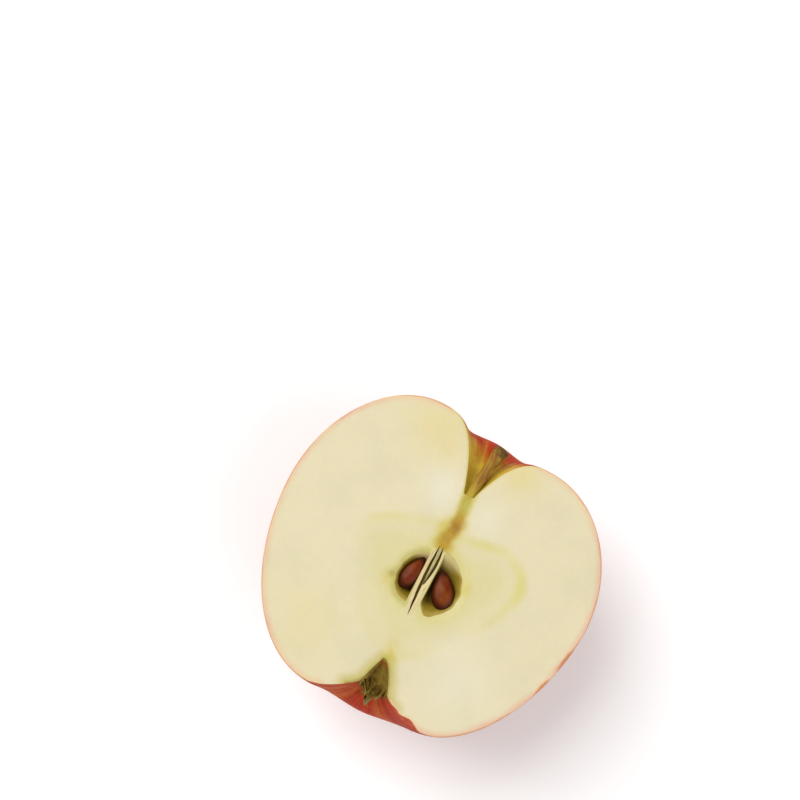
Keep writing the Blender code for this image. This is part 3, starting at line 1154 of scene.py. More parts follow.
@dataclass(frozen=True)
class SeedCell:
    """A seed cell, in mm: straight along the core, bulging to one side, with a bowl's floor.

    Its floor rises beyond the seed to a share of the full depth at the top and at the bottom, its
    lining is pale beyond two heights on the cut, and its lower end hooks away from the core.
    """

    wall: float
    side: int
    top: float
    bottom: float
    width: float
    roundness: float
    sag: float
    depth: float
    top_share: float
    bottom_share: float
    pale_above: float
    pale_below: float
    hook: float
    steps: int = 56
    wall_steps: int = 7
    hook_rise: float = 2.8
    hook_start: float = 0.75
    waver: float = 0.03
    waver_pitch: float = 4.5
    rings: int = 26
    ring_spacing: float = 1.3
    deep_at: float = -3.1
    deep_reach: float = 3.6
    end_reach: float = 6.6
    pale_reach: float = 2.0
    floor_curl: float = 0.65
    lip: Point = (-0.05, 0.3)
    middle_share: float = 0.12
    grain: Place = (0.9, 0.25, 0.5)
    grain_depth: float = 0.1

    @property
    def middle(self) -> Point:
        """The point on the cut that the cell narrows towards, close to its straight wall."""
        return (self.wall + self.side * self.width * self.middle_share,
                (self.top + self.bottom) / 2)

    def depth_share(self, inwards: float) -> float:
        """Give the depth's share at a ring: a soft edge, a steep wall and a rounded floor."""
        return inwards ** self.floor_curl * smooth_step(*self.lip, inwards)

    def pale_at(self, y: float) -> float:
        """Tell how pale the lining is at a height on the cut."""
        return max(smooth_step(self.pale_above, self.pale_above + self.pale_reach, y),
                   smooth_step(self.pale_below, self.pale_below - self.pale_reach, y))

    def depth_at(self, y: float) -> float:
        """Give the cell's depth at a height on the cut: full by the seed, shallow at both ends."""
        end = smooth_step(self.deep_reach, self.end_reach, abs(y - self.deep_at))
        share = self.top_share if y > self.deep_at else self.bottom_share
        return self.depth * (1 - (1 - share) * end)

    def rough_at(self, x: float, y: float, down: float) -> float:
        """Give the depth of the lining's own relief at a place on the cut and a depth."""
        across, along, deep = self.grain
        wave = noise.noise(Vector((x * across, y * along, down * deep + self.side)))
        return abs(self.grain_depth * wave)

    def outline(self, scale: float = 1.0) -> list[Point]:
        """Draw the cell's edge on the cut, or a narrower ring further down.

        Args:
            scale: the ring's size against the edge.

        Returns:
            The ring's points.
        """
        centre_x, centre_y = self.middle
        half = (self.top - self.bottom) / 2
        ring = []
        for i in range(self.steps + 1):
            turn = math.pi * i / self.steps
            waver = noise.noise(Vector((turn * self.waver_pitch, self.side, 2.0)))
            reach = self.width * (1 + self.waver * waver)
            reach *= max(0.0, math.sin(turn)) ** self.roundness
            reach += self.hook * smooth_step(self.hook_start * math.pi, math.pi, turn)
            ring.append((reach, half * math.cos(turn) - self.sag * math.sin(turn) ** 2))
        for i in range(1, self.wall_steps):
            share = i / self.wall_steps
            ring.append((self.hook * (1 - share) ** 2, self.hook_rise * share - half))
        return [(centre_x + (self.wall + self.side * reach - centre_x) * scale,
                 centre_y + y * scale) for reach, y in ring]


@dataclass(frozen=True)
class Slit:
    """A narrow gap beside the core's axis, in mm, bowed to one side."""

    top: Point
    bottom: Point
    width: float
    bow: float
    steps: int = 40
    waver: float = 0.05
    waver_pitch: float = 0.7
    end_curl: float = 0.7

    def outline(self, share: float = 1.0) -> list[Point]:
        """Draw the gap's edge on the cut, or a narrower one further down.

        Args:
            share: the narrower one's width against the edge's.

        Returns:
            The points: down the left side from the top, and up the right side.
        """
        left, right = [], []
        for i in range(1, self.steps):
            along = i / self.steps
            arch = math.sin(math.pi * along)
            y = self.top[1] + (self.bottom[1] - self.top[1]) * along
            waver = self.waver * noise.noise(Vector((y * self.waver_pitch, self.bow, 4.0)))
            x = self.top[0] + (self.bottom[0] - self.top[0]) * along + self.bow * arch + waver
            half_width = self.width / 2 * share * arch ** self.end_curl
            left.append((x - half_width, y))
            right.append((x + half_width, y))
        return [self.top, *left, self.bottom, *reversed(right)]


@dataclass
class Core:
    """The core on the cut face, in mm: cells, slits beside the axis, membranes, line and strand."""

    cells: tuple[SeedCell, ...] = (
        SeedCell(-1.5, -1, top=2.3, bottom=-9.6, width=4.7, roundness=1.05, sag=0.7, depth=4.4,
                 top_share=0.3, bottom_share=0.3, pale_above=-0.6, pale_below=-8.8, hook=0.0),
        SeedCell(1.45, 1, top=4.2, bottom=-10.5, width=7.1, roundness=1.1, sag=0.7, depth=4.8,
                 top_share=0.16, bottom_share=0.4, pale_above=0.4, pale_below=-12.0, hook=1.9),
    )
    slits: tuple[Slit, ...] = (
        Slit(top=(-0.48, 4.9), bottom=(0.2, -12.0), width=0.74, bow=-0.22),
        Slit(top=(0.36, 4.9), bottom=(0.16, -4.6), width=0.66, bow=0.44),
    )
    slit_depth: float = 1.1
    slit_rows: tuple[float, ...] = (0.15, 0.4, 0.7, 1.0)
    slit_taper: float = 0.6
    # Slit walls are marked this much deeper, so the lining paints them olive and, further down,
    # brown as painted shade.
    slit_mark: float = 1.5
    membranes: tuple[tuple[Point, ...], ...] = (
        ((-1.15, 3.4), (-1.25, 1.0), (-1.15, -2.4), (-0.8, -6.2), (-0.35, -9.6), (-0.05, -12.2)),
        ((1.1, 3.9), (1.35, 2.0), (1.4, -1.0), (0.85, -4.6), (0.65, -8.4), (0.35, -12.2)),
    )
    blade: tuple[Point, ...] = ((0.0, 4.2), (0.15, 2.6), (0.3, 0.5), (0.3, -2.0), (0.1, -4.2))
    line: tuple[Point, ...] = (
        (0.0, 8.8), (4.9, 8.6), (10.3, 10.1), (15.1, 9.7), (18.9, 6.5), (19.6, 2.8), (18.6, -1.4),
        (16.0, -7.0), (12.4, -12.0), (7.6, -17.0), (3.0, -20.8), (0.0, -22.4), (-3.2, -20.6),
        (-7.8, -16.6), (-12.8, -11.4), (-16.6, -5.6), (-18.0, -1.0), (-17.0, 2.6), (-13.3, 5.4),
        (-8.5, 7.4), (-4.5, 8.5), (0.0, 8.8))
    line_spots: tuple[Spot, ...] = (
        (8.0, 9.5, 6.0, 0.8), (19.0, 4.5, 7.0, 0.9), (17.5, -4.0, 4.0, 0.5),
        (-13.0, 5.0, 6.0, 0.55),
        (-5.5, 8.0, 4.0, 0.4), (4.0, -19.5, 6.0, 0.35), (-6.0, -17.5, 7.0, 0.3))
    strand: tuple[Place, ...] = (
        (0.1, 18.4, 1.25), (0.3, 15.4, 1.25), (0.6, 12.8, 1.35), (0.8, 10.4, 1.8), (0.5, 8.4, 1.8),
        (0.1, 6.9, 1.9), (0.1, 5.5, 2.1))
    ochre_top: float = 12.4
    ochre_reach: float = 2.0
    line_steps: int = 160
    path_steps: int = 40
    blade_steps: int = 30
    membrane_ends: Point = (-10.2, 2.4)
    membrane_fades: Point = (4.0, 3.0)
    membrane_thinning: float = 0.5
    glows: tuple[Spot, ...] = (
        (-1.5, 8.9, 1.6, 1.0), (0.9, -21.9, 1.5, 1.0), (-7.3, -6.6, 1.8, 0.5),
        (8.6, -1.2, 1.6, 0.7),
        (-0.6, 5.4, 1.4, 0.7), (1.0, 5.6, 1.2, 0.7), (0.5, -19.8, 1.5, 0.65))
    flecks: tuple[Spot, ...] = ((-7.1, -5.6, 0.8, 0.8),)
    dark_ochre: tuple[Spot, ...] = ((0.8, 10.0, 1.5, 0.9), (0.2, 7.0, 1.0, 0.3))


@dataclass
class Half:
    """The half itself: one closed mesh of skin, cut flesh and the lining of the seed cells."""

    fruit: Fruit
    core: Core
    columns: int = 168
    bevel: float = 0.16
    bevel_drop: float = 0.12
    rim_rows: tuple[float, ...] = (0.45, 0.9, 1.6, 2.6)
    coarse: float = 1.25
    fine: float = 0.34
    core_box: Spot = (-8.0, 10.5, -13.5, 18.5)
    face_box: Spot = (-38, 38, -36, 35)
    row_pitch: float = 0.87
    rim_clear: float = 0.36
    ridge: float = 0.10
    ridge_edge: Point = (0.15, 0.55)
    dishing: float = 0.16
    dishing_edge: Point = (0.3, 4.0)
    knife_pitch: float = 0.09
    cell_sink: float = 0.12
    soft_sink: float = 0.2
    soft_side: Point = (3.0, 7.0)
    cell_reach: float = 0.5
    blade_sink: float = 0.25
    blade_edge: Point = (0.15, 0.5)
    strand_sink: float = 0.12
    strand_edge: Point = (0.4, 1.2)
    swell_pitch: float = 0.045
    swell_depth: float = 0.35
    swell_seed: Place = (3.1, 0.4, 7.7)
    dimple_pitch: float = 0.16
    dimple_depth: float = 0.07
    dimple_seed: Place = (9.2, 5.0, 1.3)
    rim_keep: float = 4.0
    # The depth mark that gives the deep calyx tube the lining's brown painted shade.
    tube_mark: float = 5.0
    streak_pitch: float = 0.28
    funnel_overlap: int = 3
    basin_overlap: int = 6
    inlet_short: int = 2
    tube_overlap: int = 5
    blushes: tuple[Spot, ...] = (
        (35.4, -4.4, 3.4, 1.0), (33.6, -12.2, 3.0, 0.8), (29.0, -21.8, 4.0, 0.35),
        (-26.5, -28.0, 7.0, 0.4), (-35.8, -12.0, 9.0, 0.35))
    torn: tuple[Spot, ...] = ((10.8, -32.4, 2.4, 1.0), (7.0, -31.6, 2.2, 0.6))
    warm: tuple[Spot, ...] = (
        (-12.7, 28.0, 7.0, 0.7), (-8.5, 25.5, 4.0, 0.7), (8.0, 26.8, 4.5, 0.8),
        (-20.0, -24.0, 9.0, 0.35))
    # The first two spots, by the stem notch, are painted sheen; the other two are paler flesh.
    pale: tuple[Spot, ...] = (
        (-5.8, 16.2, 4.5, 1.0), (6.0, 14.6, 4.0, 1.0), (17.0, -20.0, 8.0, 0.8),
        (2.6, -12.5, 3.0, 0.4))

    def build(self, materials: Sequence[Material]) -> Object:
        """Make the half.

        Args:
            materials: skin, flesh and lining, in the order of Zone.

        Returns:
            The half as one closed mesh.
        """
        draft = Draft()
        columns = self.draw_skin(draft)
        rim = self.draw_face(draft, columns)
        LOG.info("half: %d points, rim of %d", len(draft.points), rim)
        half = draft.make("apple_half", materials)
        self.wrap_skin(half.data)
        return half

    def draw_skin(self, draft: Draft) -> list[list[int]]:
        """Draw the round outside, column by column.

        Args:
            draft: the draft to draw in.

        Returns:
            The points of each column, from the funnel's floor to the tube's apex.
        """
        fruit = self.fruit
        tube_start = fruit.tube_start
        columns = []
        for j in range(self.columns + 1):
            angle = math.pi * (j / self.columns - 1)
            path = fruit.meridian(fruit.lobe(angle))
            steps = np.hypot(*np.diff(np.array(path), axis=0).T)
            along = np.concatenate(([0.0], np.cumsum(steps)))
            along /= along[tube_start]
            column = []
            for i, ((out, up), share) in enumerate(zip(path, along)):
                x, y, z = fruit.place(out, up, angle)
                if j in (0, self.columns):
                    z = fruit.cut_height - self.bevel_drop
                else:
                    sunk = self.unevenness(x, y, z)
                    sunk *= smooth_step(0, self.rim_keep, fruit.cut_height - z)
                    x, y, z = fruit.place(out - sunk, up, angle)
                # Deep in the calyx tube the lining is marked deep, so it takes the brown painted
                # shade.
                dark = i > tube_start and up < -fruit.tube_dark_down
                column.append(draft.point(x, y, max(z, 0.0), along=share, turn=angle,
                                          cell_depth=self.tube_mark if dark else 0.0))
            columns.append(column)
        split = tube_start + 1
        draft.bridge([column[:split] for column in columns])
        draft.bridge([column[split - 1:] for column in columns], Zone.LINING)
        return columns

    def unevenness(self, x: float, y: float, z: float) -> float:
        """Tell how far the skin is sunk at a place by the fruit's natural unevenness.

        Args:
            x: the place across the cut, in mm.
            y: the place along the core, in mm.
            z: the place out of the cut, in mm.

        Returns:
            The depth in mm.
        """
        here = Vector((x, y, z))
        swell = noise.noise(here * self.swell_pitch + Vector(self.swell_seed))
        dimple = noise.noise(here * self.dimple_pitch + Vector(self.dimple_seed))
        return self.swell_depth * (0.5 + 0.5 * swell) + self.dimple_depth * (0.5 + 0.5 * dimple)

    def draw_face(self, draft: Draft, columns: list[list[int]]) -> int:
        """Draw the cut face and everything that opens in it.

        Args:
            draft: the draft to draw in.
            columns: the skin's columns.

        Returns:
            How many points the face's edge has.
        """
        fruit = self.fruit
        level = fruit.cut_height
        stem_pole = draft.point(0, fruit.floor_up, level - self.bevel_drop)
        calyx_pole = draft.point(0, -fruit.apex_down, level - self.bevel_drop)
        for near, far in zip(columns, columns[1:]):
            draft.face((stem_pole, far[0], near[0]))
            draft.face((calyx_pole, near[-1], far[-1]), Zone.LINING)
        loop = [stem_pole, *columns[0], calyx_pole, *reversed(columns[-1])]
        outline = np.array([draft.points[i][:2] for i in loop]) / MM
        holes = [np.array(cell.outline()) for cell in self.core.cells]
        holes += [np.array(slit.outline()) for slit in self.core.slits]
        edge = self.inset(outline, self.bevel)
        spread = self.spread(outline, holes)
        rings = [edge, *holes]
        fixed = [Vector(p) for ring in rings for p in ring]
        edges = []
        start = 0
        for ring in rings:
            count = len(ring)
            edges += [(start + i, start + (i + 1) % count) for i in range(count)]
            start += count
        result = geometry.delaunay_2d_cdt(fixed + [Vector(p) for p in spread], edges, [], 1, 1e-4)
        flat, triangles, origins = np.array([tuple(p) for p in result[0]]), result[2], result[3]
        middles = flat[np.array(triangles)].mean(axis=1)
        kept = inside(middles, edge)
        for hole in holes:
            kept &= ~inside(middles, hole)
        marks = self.face_marks(flat, outline, holes)
        heights = self.face_heights(flat, marks)
        numbers = []
        for i, (x, y) in enumerate(flat):
            here = {name: float(mark[i]) for name, mark in marks.items()}
            numbers.append(draft.point(x, y, level + heights[i], **here))
        for triangle, keep in zip(triangles, kept):
            if keep:
                draft.face([numbers[i] for i in triangle], Zone.FLESH)
        for name, mark in self.face_marks(outline, outline, holes).items():
            draft.marks[name].update(zip(loop, mark.tolist()))
        where = {source: numbers[i] for i, sources in enumerate(origins) for source in sources}
        top = [where[i] for i in range(len(edge))]
        draft.bridge([loop, top], Zone.FLESH, closed=True)
        start = len(edge)
        for ring, cell in zip(holes, self.core.cells):
            self.draw_cell(draft, cell, [where[start + i] for i in range(len(ring))])
            start += len(ring)
        for ring, slit in zip(holes[len(self.core.cells):], self.core.slits):
            self.draw_slit(draft, slit, [where[start + i] for i in range(len(ring))])
            start += len(ring)
        return len(loop)

    def inset(self, outline: np.ndarray, gap: float) -> np.ndarray:
        """Move a closed outline inwards.

        Args:
            outline: the outline's points.
            gap: how far to move it, in mm.

        Returns:
            The moved points.
        """
        run = np.roll(outline, -1, axis=0) - np.roll(outline, 1, axis=0)
        normal = np.stack((-run[:, 1], run[:, 0]), axis=1)
        normal /= np.linalg.norm(normal, axis=1, keepdims=True)
        area = np.sum(outline[:, 0] * np.roll(outline[:, 1], -1)
                      - outline[:, 1] * np.roll(outline[:, 0], -1))
        return outline + normal * gap * np.sign(area)

    def spread(self, outline: np.ndarray, holes: list[np.ndarray]) -> np.ndarray:
        """Spread points over the face: rows along the rim, a fine grid at the core, a coarse one.

        Args:
            outline: the face's edge.
            holes: the outlines of what opens in it.

        Returns:
            The points, clear of the edge and the holes.
        """
        rows = [self.inset(outline, gap)[::2] for gap in self.rim_rows]
        low_x, high_x, low_y, high_y = self.core_box
        grids = []
        for pitch, box in ((self.coarse, self.face_box), (self.fine, self.core_box)):
            xs = np.arange(box[0], box[1], pitch)
            ys = np.arange(box[2], box[3], pitch * self.row_pitch)
            grid = np.array([(x + pitch / 2 * (k % 2), y) for k, y in enumerate(ys) for x in xs])
            grids.append(grid)
        in_core = ((grids[0][:, 0] > low_x) & (grids[0][:, 0] < high_x)
                   & (grids[0][:, 1] > low_y) & (grids[0][:, 1] < high_y))
        coarse = grids[0][~in_core]
        coarse = coarse[distance_to(coarse, outline, True) > self.rim_rows[-1] + self.coarse / 2]
        fine = grids[1][distance_to(grids[1], outline, True) > self.fine]
        rim = np.vstack(rows)
        rim = rim[distance_to(rim, outline, True) > self.rim_clear]
        points = np.vstack((rim, coarse, fine))
        points = points[inside(points, outline)]
        for hole in holes:
            clear = distance_to(points, hole, True) > self.fine / 2
            points = points[~inside(points, hole) & clear]
        return points

    def face_marks(self, flat: np.ndarray, outline: np.ndarray,
                   holes: list[np.ndarray]) -> dict[str, np.ndarray]:
        """Work out what the flesh's material reads at each point of the face.

        Args:
            flat: the face's points.
            outline: the face's edge.
            holes: the outlines of what opens in it.

        Returns:
            Each mark's values, in mm: gaps to the rim, core line, cells, tube, strand, membranes.
        """
        core = self.core
        line = smooth_path(core.line, core.line_steps)
        core_gap = distance_to(flat, line, True) * np.where(inside(flat, line), -1, 1)
        strand = np.full(len(flat), np.inf)
        for x, y, half_width in smooth_path(core.strand, core.path_steps):
            strand = np.minimum(strand, np.hypot(flat[:, 0] - x, flat[:, 1] - y) / half_width)
        fruit = self.fruit
        tube_start, funnel_end = fruit.tube_start, fruit.funnel_steps
        count = tube_start + fruit.tube_steps
        right, left = outline[1:count + 1], outline[:count + 1:-1]
        skin = slice(funnel_end - self.funnel_overlap,
                     tube_start - fruit.basin_steps + self.basin_overlap)
        inlet = slice(0, funnel_end - self.inlet_short)
        tube = slice(tube_start - self.tube_overlap, count)
        gaps = {name: np.minimum(distance_to(flat, right[part]), distance_to(flat, left[part]))
                for name, part in (("rim", skin), ("inlet_gap", inlet), ("tube_gap", tube))}
        left_gap, right_gap = (distance_to(flat, hole, True) for hole in holes[:2])
        membrane = np.min([distance_to(flat, smooth_path(path, core.path_steps))
                           for path in core.membranes], axis=0)
        low, high = core.membrane_ends
        fade_low, fade_high = core.membrane_fades
        thinned = np.clip((low - flat[:, 1]) / fade_low, 0, 1)
        thinned = thinned + np.clip((flat[:, 1] - high) / fade_high, 0, 1)
        return {
            **gaps, "core_gap": core_gap, "strand": strand, "left_gap": left_gap,
            "cell_gap": np.minimum(left_gap, right_gap),
            "above_ochre": np.clip((flat[:, 1] - core.ochre_top) / core.ochre_reach, 0, 1),
            "membrane": membrane + thinned * core.membrane_thinning,
            "blade": distance_to(flat, smooth_path(core.blade, core.blade_steps)),
            **{name: self.spots(flat, group) for name, group in (
                ("line_share", core.line_spots), ("blush", self.blushes), ("glow", core.glows),
                ("torn", self.torn), ("dark_ochre", core.dark_ochre), ("fleck", core.flecks),
                ("warm_share", self.warm), ("pale_share", self.pale))},
            "edge_gap": distance_to(flat, outline, True)}

    def spots(self, flat: np.ndarray, spots: Sequence[Sequence[float]]) -> np.ndarray:
        """Tell how strongly soft round spots show at each point.

        Args:
            flat: the face's points.
            spots: each spot's place, radius and strength.

        Returns:
            A share for each point.
        """
        shares = [strength * np.exp(-(np.hypot(flat[:, 0] - x, flat[:, 1] - y) / radius) ** 2)
                  for x, y, radius, strength in spots]
        return np.max(shares, axis=0)

    def face_heights(self, flat: np.ndarray, marks: dict[str, np.ndarray]) -> np.ndarray:
        """Give the cut its slight relief: raised membranes, soft dishing and the knife's waves.

        Args:
            flat: the face's points.
            marks: their marks.

        Returns:
            Each point's height against the cut, in mm.
        """
        heights = np.zeros(len(flat))
        for i, (x, y) in enumerate(flat):
            wave = noise.noise(Vector((x * self.knife_pitch, y * self.knife_pitch, 1.7)))
            inner = smooth_step(*self.dishing_edge, marks["rim"][i])
            heights[i] = -self.dishing * (0.5 + 0.5 * wave) * inner
            heights[i] += self.ridge * (1 - smooth_step(*self.ridge_edge, marks["membrane"][i]))
            soft = smooth_step(*self.soft_side, x)
            beyond = smooth_step(0.0, self.cell_reach + soft, marks["cell_gap"][i])
            heights[i] -= (self.cell_sink + self.soft_sink * soft) * (1 - beyond)
            heights[i] -= self.blade_sink * (1 - smooth_step(*self.blade_edge, marks["blade"][i]))
            beyond = smooth_step(*self.strand_edge, marks["strand"][i])
            heights[i] -= self.strand_sink * (1 - beyond)
        return heights

    def draw_cell(self, draft: Draft, cell: SeedCell, edge: list[int]) -> None:
        """Draw a seed cell's wall and floor below its edge.

        Args:
            draft: the draft to draw in.
            cell: the cell.
            edge: the points of its edge on the cut.
        """
        level = self.fruit.cut_height
        sunk = [level - draft.points[corner][2] / MM for corner in edge]
        rows = [edge]
        for i in range(1, cell.rings):
            inwards = (i / cell.rings) ** cell.ring_spacing
            ring = []
            for (x, y), start in zip(cell.outline(1 - inwards), sunk):
                down = cell.depth_at(y) * cell.depth_share(inwards) + start * (1 - inwards)
                ring.append(draft.point(x, y, level - down - cell.rough_at(x, y, down) * inwards,
                                        cell_depth=down, cell_pale=cell.pale_at(y)))
            rows.append(ring)
        draft.bridge(rows, Zone.LINING, closed=True)
        floor = draft.point(*cell.middle, level - cell.depth, cell_depth=cell.depth)
        for i, corner in enumerate(rows[-1]):
            draft.face((corner, rows[-1][(i + 1) % len(edge)], floor), Zone.LINING)

    def draw_slit(self, draft: Draft, slit: Slit, edge: list[int]) -> None:
        """Draw a slit's walls, which close in as they go down.

        Args:
            draft: the draft to draw in.
            slit: the slit.
            edge: the points of its edge on the cut.
        """
        rows = [edge]
        core = self.core
        for share in core.slit_rows:
            down = core.slit_depth * share
            height = self.fruit.cut_height - down
            # The walls' raised depth mark gives them the lining's olive tint and its brown painted
            # shade.
            rows.append([draft.point(x, y, height, cell_depth=core.slit_mark + down)
                         for x, y in slit.outline(1 - core.slit_taper * share)])
        draft.bridge(rows, Zone.LINING, closed=True)
        last = rows[-1]
        half = len(last) // 2
        draft.face((last[0], last[1], last[-1]), Zone.LINING)
        draft.face((last[half], last[half + 1], last[half - 1]), Zone.LINING)
        for i in range(1, half - 1):
            draft.face((last[i], last[i + 1], last[-1 - i], last[-i]), Zone.LINING)

    def wrap_skin(self, mesh: Mesh) -> None:
        """Give each point the place that the skin's streaks follow: round, round and along.

        Args:
            mesh: the half's mesh.
        """
        along = np.zeros(len(mesh.vertices), np.float32)
        turn = np.zeros(len(mesh.vertices), np.float32)
        mesh.attributes["along"].data.foreach_get("value", along)
        mesh.attributes["turn"].data.foreach_get("value", turn)
        wrap = np.stack((np.cos(turn), np.sin(turn), along * self.streak_pitch), axis=1)
        made = mesh.attributes.new("wrap", "FLOAT_VECTOR", "POINT")
        made.data.foreach_set("vector", wrap.ravel())


@dataclass
class Stem:
    """The woody stem, in mm, grown by nodes along a bowed line with a knob at its end."""

    cut_height: float
    foot: Place = (0.15, 14.6, -1.42)
    tip: Place = (2.15, 30.9, -0.6)
    bow: Place = (-0.35, 0.0, -0.1)
    foot_radius: float = 1.18
    waist_radius: float = 1.33
    knob_radius: float = 1.84
    knob_start: float = 0.68
    knob_end: float = 0.94
    round_start: float = 0.945
    roundness: float = 2.4
    end_share: float = 0.12
    ridge_depth: float = 0.12
    ridges: Grain = Grain(1100.0, 3.0, 0.6, stretch=0.13)
    ridge_top: float = 0.75
    knots: Grain = Grain(420.0, 2.0)
    knot_top: float = 0.7
    sides: int = 40
    rings: int = 90

    def tree(self) -> Growth:
        """Build the tree: a bowed line, its radius, the bark's ridges and a rounded end.

        Returns:
            The tree, ready to grow.
        """
        t = Growth("stem_growth")
        foot, tip, bow = (t.size(name, "Vector") for name in ("Foot", "Tip", "Bow"))
        names = ("Foot Radius", "Waist Radius", "Knob Radius", "Knob Start", "Ridge Depth")
        foot_radius, waist, knob, start, ridge = (t.size(name) for name in names)
        line = t.geo("CurvePrimitiveLine", {"Start": foot, "End": tip})
        line = t.geo("ResampleCurve", {"Curve": line, "Count": self.rings})
        share = t.geo("SplineParameter", out="Factor")
        arch = t.math("SINE", t.times(share, math.pi))
        line = t.moved(line, t.scaled(bow, arch))
        line = t.store(line, "along", share)
        lower = t.math("DIVIDE", share, start, clamp=True)
        radius = t.plus(foot_radius, t.times(t.minus(waist, foot_radius), lower))
        swell = t.put("ShaderNodeMapRange", {0: share, 1: start, 2: self.knob_end},
                      interpolation_type="SMOOTHSTEP")
        radius = t.plus(radius, t.times(t.minus(knob, waist), swell))
        ending = t.ramp(share, Ramp(self.round_start, 1.0, smooth=False))
        closing = t.math("POWER", t.minus(1.0, t.math("POWER", ending, self.roundness)), 0.5)
        radius = t.times(radius, t.math("MAXIMUM", closing, self.end_share))
        ring = t.geo("CurvePrimitiveCircle", {"Resolution": self.sides, "Radius": 1.0})
        bark = t.geo("CurveToMesh", {
            "Curve": line, "Profile Curve": ring, "Scale": radius, "Fill Caps": True})
        here = t.geo("InputPosition")
        outward = t.geo("InputNormal", out="Normal")
        grain = t.noise(here, self.ridges)
        knots = t.noise(here, self.knots)
        sunk = t.plus(t.minus(grain, self.ridge_top), t.minus(knots, self.knot_top))
        t.close(t.smooth(t.moved(bark, t.scaled(outward, t.times(sunk, ridge)))))
        return t

    def build(self, bark: Material) -> Object:
        """Grow the stem.

        Args:
            bark: its material.

        Returns:
            The stem.
        """
        return self.tree().grow("stem_bark", {
            "Foot": self.raised(self.foot), "Tip": self.raised(self.tip),
            "Bow": tuple(v * MM for v in self.bow), "Foot Radius": self.foot_radius * MM,
            "Waist Radius": self.waist_radius * MM, "Knob Radius": self.knob_radius * MM,
            "Knob Start": self.knob_start, "Ridge Depth": self.ridge_depth * MM, "Material": bark})

    def raised(self, place: Place) -> Place:
        """Turn a place that is measured from the cut, in mm, into one in metres."""
        return place[0] * MM, place[1] * MM, (place[2] + self.cut_height) * MM


@dataclass(frozen=True)
class SeedShape:
    """One seed, in mm, lying flat with its point towards the stem."""

    name: str
    node: str
    middle: Point
    length: float
    width: float
    thickness: float
    lean: float
    sunk: float
    point: float


@dataclass
class Seeds:
    """The two seeds, both grown from one node tree that draws a drop out of a ball."""

    cut_height: float
    shapes: tuple[SeedShape, ...] = (
        SeedShape("seed_coat_left", "seed_left", (-3.12, -3.05), 8.5, 4.25, 3.1, -12.0, -0.1, 0.6),
        SeedShape("seed_coat_right", "seed_right", (4.74, -3.6), 9.0, 5.2, 3.3, 27.0, -0.1, 0.6),
    )
    segments: int = 72
    rings: int = 60
    wrinkle: float = 0.16
    dents: Grain = Grain(520.0, 2.0, stretch=0.35)
    dent_top: float = 0.8

    def tree(self) -> Growth:
        """Build the tree: a ball drawn to a drop, wrinkled, turned and moved to its place.

        Returns:
            The tree, ready to grow.
        """
        t = Growth("seed_growth")
        size, middle, turn = (t.size(name, "Vector") for name in ("Size", "Middle", "Turn"))
        point, wrinkle = t.size("Point"), t.size("Wrinkle")
        ball = t.geo("MeshUVSphere",
                     {"Segments": self.segments, "Rings": self.rings, "Radius": 1.0})
        place = t.put("ShaderNodeSeparateXYZ", {0: t.geo("InputPosition")})
        across, upright, along = place.node.outputs
        widest = t.math("DIVIDE", point, t.plus(point, 2.0))
        peak = t.times(t.math("SQRT", t.minus(1.0, t.times(widest, widest))),
                       t.math("POWER", t.times(t.plus(1.0, widest), 0.5), t.times(point, 0.5)))
        taper = t.math("POWER", t.times(t.minus(1.0, along), 0.5), t.times(point, 0.5))
        taper = t.math("DIVIDE", taper, peak)
        drop = t.put("ShaderNodeCombineXYZ", {0: t.times(across, taper), 1: along,
                                              2: t.times(upright, taper)})
        # brink: how near a point lies to the seed's rim seen from above, for the coat's painted rim
        # shade
        brink = t.math("SQRT", t.plus(t.times(across, across), t.times(along, along)))
        ball = t.store(t.store(ball, "tip", along), "brink", brink)
        body = t.geo("SetPosition",
                     {"Geometry": ball, "Position": t.vector("MULTIPLY", drop, size)})
        here = t.geo("InputPosition")
        body = t.store(body, "grain", here, "FLOAT_VECTOR")
        outward = t.geo("InputNormal", out="Normal")
        dent = t.minus(t.noise(here, self.dents), self.dent_top)
        body = t.moved(body, t.scaled(outward, t.times(dent, wrinkle)))
        body = t.geo("Transform",
                     {"Geometry": body, "Translation": middle, "Rotation": turn})
        t.close(t.smooth(body))
        return t

    def build(self, coat: Material) -> list[Object]:
        """Grow both seeds.

        Args:
            coat: their material.

        Returns:
            The seeds.
        """
        tree = self.tree()
        seeds = []
        for shape in self.shapes:
            height = self.cut_height - shape.sunk - shape.thickness / 2
            halves = (shape.width / 2, shape.length / 2, shape.thickness / 2)
            seeds.append(tree.grow(shape.name, {
                "Size": tuple(v * MM for v in halves),
                "Middle": (shape.middle[0] * MM, shape.middle[1] * MM, height * MM),
                "Turn": (0.0, 0.0, math.radians(shape.lean)), "Point": shape.point,
                "Wrinkle": self.wrinkle * MM, "Material": coat}))
        return seeds


@dataclass(frozen=True)
class Sepal:
    """A dried sepal, in mm and degrees: where it stands on the cup's rim and how it curls."""

    angle: float
    length: float
    width: float
    flare: float
    curl: float
    across: int = 14
    along: int = 24
    foot: float = 1.0
    inwards: float = 0.55
    flare_share: float = 0.7
    least_out: float = 1.5
    taper: Point = (1.7, 0.8)
    tip_width: float = 0.12
    hollow: float = 0.3
    wrinkle: float = 0.22
    wrinkle_pitch: Point = (1.6, 2.5)
    thickness: float = 0.13
    thinning: float = 0.5


